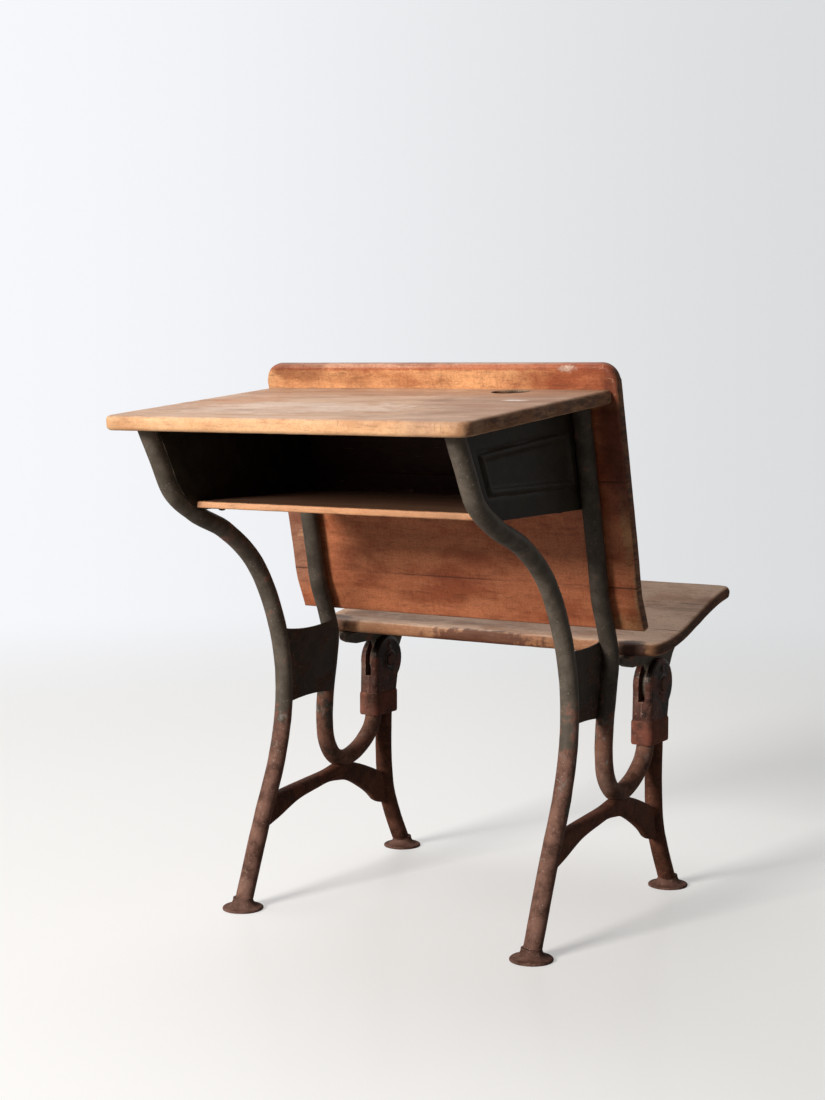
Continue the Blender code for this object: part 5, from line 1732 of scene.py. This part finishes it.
@dataclass
class Hinges:
    """Knuckles, collars, pins and seat arms, which keep the shape of their solids."""

    lines: DeskLines
    iron: "Finish"
    band: "Finish"
    steel: "Finish"
    arm: "Finish"
    nodes: dict[str, bpy.types.Object]
    boss_off: float = 0.0153
    boss_profile: tuple[Pair, ...] = (
        (0.0093, 0.0), (0.0158, 0.0), (0.0152, 0.0011), (0.0142, 0.0018), (0.0122, 0.0020), (0.0106, 0.0016),
        (0.0097, 0.0009), (0.0093, 0.0),
    )
    collar_size: Place = (0.0171, 0.0318, 0.0079)
    collar_edge: float = 0.0018
    collar_wear: float = 0.0009
    collar_wall: float = 0.0014

    def build(self) -> None:
        """Dress the hinge solids and add the bosses round the pins."""
        for side in Side:
            for stem, finish, bevel in (
                ("knuckle_inner", self.iron, 0.0009), ("knuckle_outer", self.iron, 0.0009),
                ("stop_rivet", self.steel, 0.0004), ("hinge_pin", self.steel, 0.0006),
                ("seat_arm", self.arm, 0.0008),
            ):
                self.dress(f"{stem}_{side.label}", finish, bevel)
            self.add_bosses(side)
            self.add_collar(side)

    def dress(self, node: str, finish: "Finish", bevel: float) -> None:
        """Give a solid its finish and soft edges."""
        obj = self.nodes[node]
        obj.data.materials.clear()
        obj.data.materials.append(finish.material())
        soften = obj.modifiers.new("soft edges", "BEVEL")
        soften.width = bevel
        soften.segments = 2
        soften.limit_method = "ANGLE"
        soften.angle_limit = math.radians(35.0)
        soften.harden_normals = True
        LOG.info("%s dressed", node)

    def add_bosses(self, side: Side) -> None:
        """Raised ring round the hinge pin's head on either face of the knuckle."""
        for word, out in (("inner", -1), ("outer", 1)):
            ring = turned(f"pin_boss_{word}_{side.label}", list(self.boss_profile), 48)
            ring.data.transform(Matrix.Rotation(out * math.pi / 2, 4, "Y"))
            x = side.value * self.lines.frame_x + out * self.boss_off
            ring.data.transform(Matrix.Translation(in_space(self.lines.pivot, x)))
            hand_over(ring, Body.FRAME, Slot.RUST, self.iron)

    def add_collar(self, side: Side) -> None:
        """Forged band round the shank, with worn upper and lower edges."""
        middle = (side.value * self.lines.frame_x, self.lines.collar_y + self.lines.shift_y)
        height = self.lines.collar_top - self.lines.collar_bottom
        rows = []
        for share in np.linspace(0.0, 1.0, 13):
            worn = 1.0 - min(share, 1.0 - share) * height / self.collar_edge
            rows.append((self.lines.collar_bottom + share * height, -self.collar_wear * max(0.0, worn)))
        inside = [(rows[row][0], -self.collar_wall) for row in (0, -1)]
        ring = rounded_ring(*self.collar_size, 10)
        points = [
            (middle[0] + x + out_x * grow, middle[1] + y + out_y * grow, z)
            for z, grow in rows + inside for (x, y), (out_x, out_y) in ring
        ]
        count, last = len(ring), (len(rows) - 1) * len(ring)
        low, high = len(rows) * count, (len(rows) + 1) * count
        faces = ring_faces(len(rows), count)
        for j in range(count):
            k = (j + 1) % count
            faces.append((j, low + j, low + k, k))
            faces.append((last + j, last + k, high + k, high + j))
            faces.append((low + j, high + j, high + k, low + k))
        band = new_object(f"collar_band_{side.label}", points, faces)
        hand_over(band, Body.FRAME, Slot.RUST, self.band, f"collar_{side.label}")


def rounded_ring(half_x: float, half_y: float, corner: float, steps: int) -> list[tuple[Pair, Pair]]:
    """Points of a rounded rectangle about the origin with their outward directions."""
    ring: list[tuple[Pair, Pair]] = []
    for cx, cy, start in ((1, 1, 0.0), (-1, 1, 90.0), (-1, -1, 180.0), (1, -1, 270.0)):
        for angle in np.radians(np.linspace(start, start + 90.0, steps)):
            out = (math.cos(angle), math.sin(angle))
            x = cx * (half_x - corner) + corner * out[0]
            y = cy * (half_y - corner) + corner * out[1]
            ring.append(((x, y), out))
    return ring


@dataclass
class Fasteners:
    """Slotted screws and domed bolts, at the places of their solids."""

    lines: DeskLines
    steel: "Finish"
    screw: Pair = (0.0046, 0.0024)
    bolt: Pair = (0.0079, 0.0029)
    shank_share: float = 0.42
    tilt_share: float = 0.62
    rim_share: float = 0.85
    neck_share: float = 0.97
    dome_share: float = 1.03
    slot_share: Place = (0.13, 1.3, 0.45)

    def build(self) -> None:
        """Build every screw and bolt."""
        rise, seat, back = np.array((0.0, 1.0)), self.lines.seat_line(), self.lines.back_line()
        for side in Side:
            for stem, up in (
                ("screw_desktop_near", self.lines.desk_up), ("screw_desktop_far", self.lines.desk_up),
                ("screw_shelf_near", rise), ("screw_shelf_far", rise),
            ):
                self.head(stem, side, up, Body.FRAME, *self.screw)
            for word, share in (("rear", 0.165), ("middle", 0.50), ("front", 0.76)):
                self.head(f"screw_seat_{word}", side, self.normal_at(seat, share), Body.SEAT, *self.screw)
            for word, share in (("top", 0.245), ("middle", 0.62), ("bottom", 0.915)):
                self.head(f"bolt_back_{word}", side, -self.normal_at(back, share), Body.FRAME, *self.bolt)

    def normal_at(self, line: np.ndarray, share: float) -> np.ndarray:
        """Left normal of a line at a share of its length."""
        marks, normals = lengths_along(line), left_normals(line)
        return np.array([np.interp(share * marks[-1], marks, normals[:, k]) for k in range(2)])

    def head(self, stem: str, side: Side, up: np.ndarray, body: Body, radius: float, height: float) -> None:
        """Build one fastener whose shank points along a direction.

        Args:
            stem: The solid's name without its side.
            side: The side frame it belongs to.
            up: Direction from head to tip, as (y, z).
            body: The body it rides on.
            radius: Radius of its head.
            height: Height of its head.
        """
        low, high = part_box(f"{stem}_{side.label}")
        direction = in_space(up).normalized()
        a, b = abs(direction.y), abs(direction.z)
        if b > a:
            length = (high.z - low.z - 2 * radius * a * self.tilt_share) / b
        else:
            length = (high.y - low.y - 2 * radius * b * self.tilt_share) / a
        shank, top, rim = self.shank_share * radius, -length / 2, height * self.rim_share
        profile = [(0.0, length / 2), (shank, length / 2), (shank, top + height)]
        profile += [(radius * self.neck_share, top + height), (radius, top + rim)]
        for angle in np.radians(np.linspace(25, 90, 7)[:-1]):
            profile.append((radius * math.cos(angle) * self.dome_share, top + rim * (1 - math.sin(angle))))
        made = turned(f"{stem}_head_{side.label}", profile + [(0.0, top)], 28)
        self.cut_slot(made, radius, top, height)
        made.data.transform(turn_to(direction))
        made.data.transform(Matrix.Translation((low + high) / 2))
        hand_over(made, body, Slot.STEEL, self.steel, f"{stem}_{side.label}")

    def cut_slot(self, made: bpy.types.Object, radius: float, top: float, height: float) -> None:
        """Cut the driver's slot across a head."""
        wide, long, deep = (size * share for size, share in zip((radius, radius, height), self.slot_share))
        corners = [
            (x, y, z) for x in (-wide, wide) for y in (-long, long) for z in (top - 0.002, top + deep)
        ]
        cutter = new_object("slot_cutter", corners, BOX_FACES)
        turn = rough_noise(Vector((radius, top, height)), 90.0) * 2.0
        cutter.data.transform(Matrix.Rotation(turn, 4, "Z"))
        apply_boolean(made, cutter)


# Studio
@dataclass(frozen=True)
class Lamp:
    """Square soft lamp aimed at the desk's middle."""

    name: str
    place: Place
    size: float
    power: float
    colour: Colour
    aim: Place = (0.0, 0.0, 0.4)

    def build(self) -> None:
        """Build the lamp."""
        data = bpy.data.lights.new(self.name, "AREA")
        data.size, data.energy, data.color = self.size, self.power, self.colour
        lamp = placed(self.name, data)
        lamp.location = self.place
        lamp.rotation_euler = (Vector(self.aim) - Vector(self.place)).to_track_quat("-Z", "Y").to_euler()


@dataclass
class Studio:
    """Pale floor and wall with painted light falloff, soft lamps and the camera."""

    # Floor colour from the left to the right of the view, pale to greyer: painted light falloff.
    floor_left: Colour = (0.98, 0.965, 0.945)
    floor_right: Colour = (0.81, 0.80, 0.78)
    floor_bounce: Colour = (0.30, 0.29, 0.28)
    floor_gloss: float = 0.05
    floor_rough: float = 0.22
    # Share of the floor that camera rays see as glow, which lightens the shadows on it: painted light.
    floor_lift: float = 0.43
    floor_radius: float = 14.0
    floor_span: Pair = (-0.05, 0.38)
    floor_fade: Pair = (1.3, 3.4)
    wall_left: Colour = (0.93, 0.94, 0.97)
    # Wall colour from the left to the right of the view, pale to grey: painted light falloff.
    wall_right: Colour = (0.70, 0.71, 0.72)
    wall_span: Pair = (-0.24, 0.26)
    world_colour: Colour = (0.93, 0.96, 1.0)
    world_strength: float = 0.08
    across: Place = (0.852, 0.524, 0.0)
    view_from: Place = (1.3682, -2.28667, 0.7557)
    view_turn: Place = (31.574, 5.443, -0.056)
    lens: float = 63.88
    lamps: tuple[Lamp, ...] = (
        Lamp("key_lamp", (-1.48, -5.92, 2.80), 1.8, 540.0, (1.0, 0.98, 0.95)),
        Lamp("top_lamp", (-1.8, 0.9, 5.0), 3.6, 105.0, (0.97, 0.985, 1.0)),
    )

    def build(self) -> None:
        """Build the floor, the world, the lamps and the camera."""
        bpy.context.scene.view_settings.view_transform = "Standard"
        self.add_floor()
        self.add_world()
        for lamp in self.lamps:
            lamp.build()
        self.add_camera()

    def add_floor(self) -> None:
        """Round floor that fades into the wall's colour far from the desk."""
        mesh = bpy.data.meshes.new("studio_floor")
        edit = bmesh.new()
        bmesh.ops.create_circle(edit, cap_ends=True, segments=96, radius=self.floor_radius)
        edit.to_mesh(mesh)
        edit.free()
        floor = placed("studio_floor", mesh)
        graph = Graph("studio_floor")
        course = graph.vector("NORMALIZE", graph.vector("SUBTRACT", graph.place(), self.view_from))
        camera = graph.add("ShaderNodeLightPath").outputs["Is Camera Ray"]
        # Painted light falloff across the floor, from left to right.
        tint = graph.mix(self.share_across(graph, course, self.floor_span), self.floor_left, self.floor_right)
        seen = graph.mix(camera, self.floor_bounce, tint)
        matt = graph.add("ShaderNodeBsdfDiffuse", {"Color": seen}).outputs[0]
        sheen = graph.add("ShaderNodeBsdfGlossy", {"Roughness": self.floor_rough}).outputs[0]
        near = self.blended(graph, self.floor_gloss, matt, sheen)
        # Camera rays see part of the floor as glow: painted light that lightens its shadows.
        near = self.blended(graph, graph.times(camera, self.floor_lift), near, self.glow(graph, tint))
        fade = graph.times(graph.ramp(graph.vector("LENGTH", graph.place()), *self.floor_fade), camera)
        graph.output(self.blended(graph, fade, near, self.glow(graph, self.wall(graph, course))))
        mesh.materials.append(graph.material)

    def glow(self, graph: Graph, colour: Socket) -> Socket:
        """Shader that gives a colour off by itself."""
        return graph.add("ShaderNodeEmission", {"Color": colour}).outputs[0]

    def blended(self, graph: Graph, share: Value, first: Socket, second: Socket) -> Socket:
        """Blend of two shaders."""
        return graph.add("ShaderNodeMixShader", {0: share, 1: first, 2: second}).outputs[0]

    def share_across(self, graph: Graph, course: Socket, span: Pair) -> Socket:
        """Share of the way from the studio's left to its right that a direction points to."""
        return graph.ramp(graph.vector("DOT_PRODUCT", course, self.across), *span)

    def wall(self, graph: Graph, course: Socket) -> Socket:
        """Colour of the wall in a direction."""
        return graph.mix(self.share_across(graph, course, self.wall_span), self.wall_left, self.wall_right)

    def add_world(self) -> None:
        """Dim soft world that the camera and glossy faces see as the pale wall."""
        world = bpy.data.worlds.new("studio_world")
        world.use_nodes = True
        graph = Graph("studio_world", world.node_tree)
        light = graph.add("ShaderNodeLightPath").outputs
        seen = graph.most(light["Is Camera Ray"], light["Is Glossy Ray"], light["Is Transmission Ray"])
        feeds = {"Color": self.world_colour, "Strength": self.world_strength}
        soft = graph.add("ShaderNodeBackground", feeds).outputs[0]
        course = graph.add("ShaderNodeTexCoord").outputs["Generated"]
        # The wall that camera and glossy rays see carries painted light falloff from left to right.
        wall = graph.add("ShaderNodeBackground", {"Color": self.wall(graph, course)}).outputs[0]
        graph.add("ShaderNodeOutputWorld", {0: self.blended(graph, seen, soft, wall)})
        bpy.context.scene.world = world

    def add_camera(self) -> None:
        """Camera at the place the photograph was taken from."""
        yaw, pitch, roll = map(math.radians, self.view_turn)
        ahead = Vector((-math.sin(yaw) * math.cos(pitch), math.cos(yaw) * math.cos(pitch), -math.sin(pitch)))
        right = Vector((math.cos(yaw), math.sin(yaw), 0.0))
        up = right.cross(ahead)
        rolled_right = right * math.cos(roll) + up * math.sin(roll)
        rolled_up = up * math.cos(roll) - right * math.sin(roll)
        turn = Matrix((rolled_right, rolled_up, -ahead)).transposed().to_4x4()
        turn.translation = Vector(self.view_from)
        data = bpy.data.cameras.new("photo_camera")
        data.sensor_fit = "VERTICAL"
        data.sensor_height = 36.0
        data.lens = self.lens
        data.clip_start = 0.05
        camera = placed("photo_camera", data)
        camera.matrix_world = turn
        bpy.context.scene.camera = camera


def main() -> None:
    """Build the desk from its floor up, then the studio."""
    finishes = make_finishes()
    TubeWork(LINES, finishes["paint"], finishes["post"], finishes["rust"]).build()
    Feet(LINES, finishes["foot"]).build()
    ArchBrace(LINES, finishes["rust"]).build()
    WebPlate(LINES, finishes["web"]).build()
    BoxSide(LINES, finishes["sheet"]).build()
    irons = (finishes[name] for name in ("knuckle", "band", "steel", "arm"))
    Hinges(LINES, *irons, frame["nodes"]).build()
    DeskTop(LINES, finishes["desk"]).build()
    BookShelf(LINES, finishes["shelf"]).build()
    SeatBack(LINES, finishes["back"]).build()
    FoldingSeat(LINES, finishes["seat"]).build()
    Fasteners(LINES, finishes["steel"]).build()
    Studio().build()


if __name__ == "__main__":
    main()
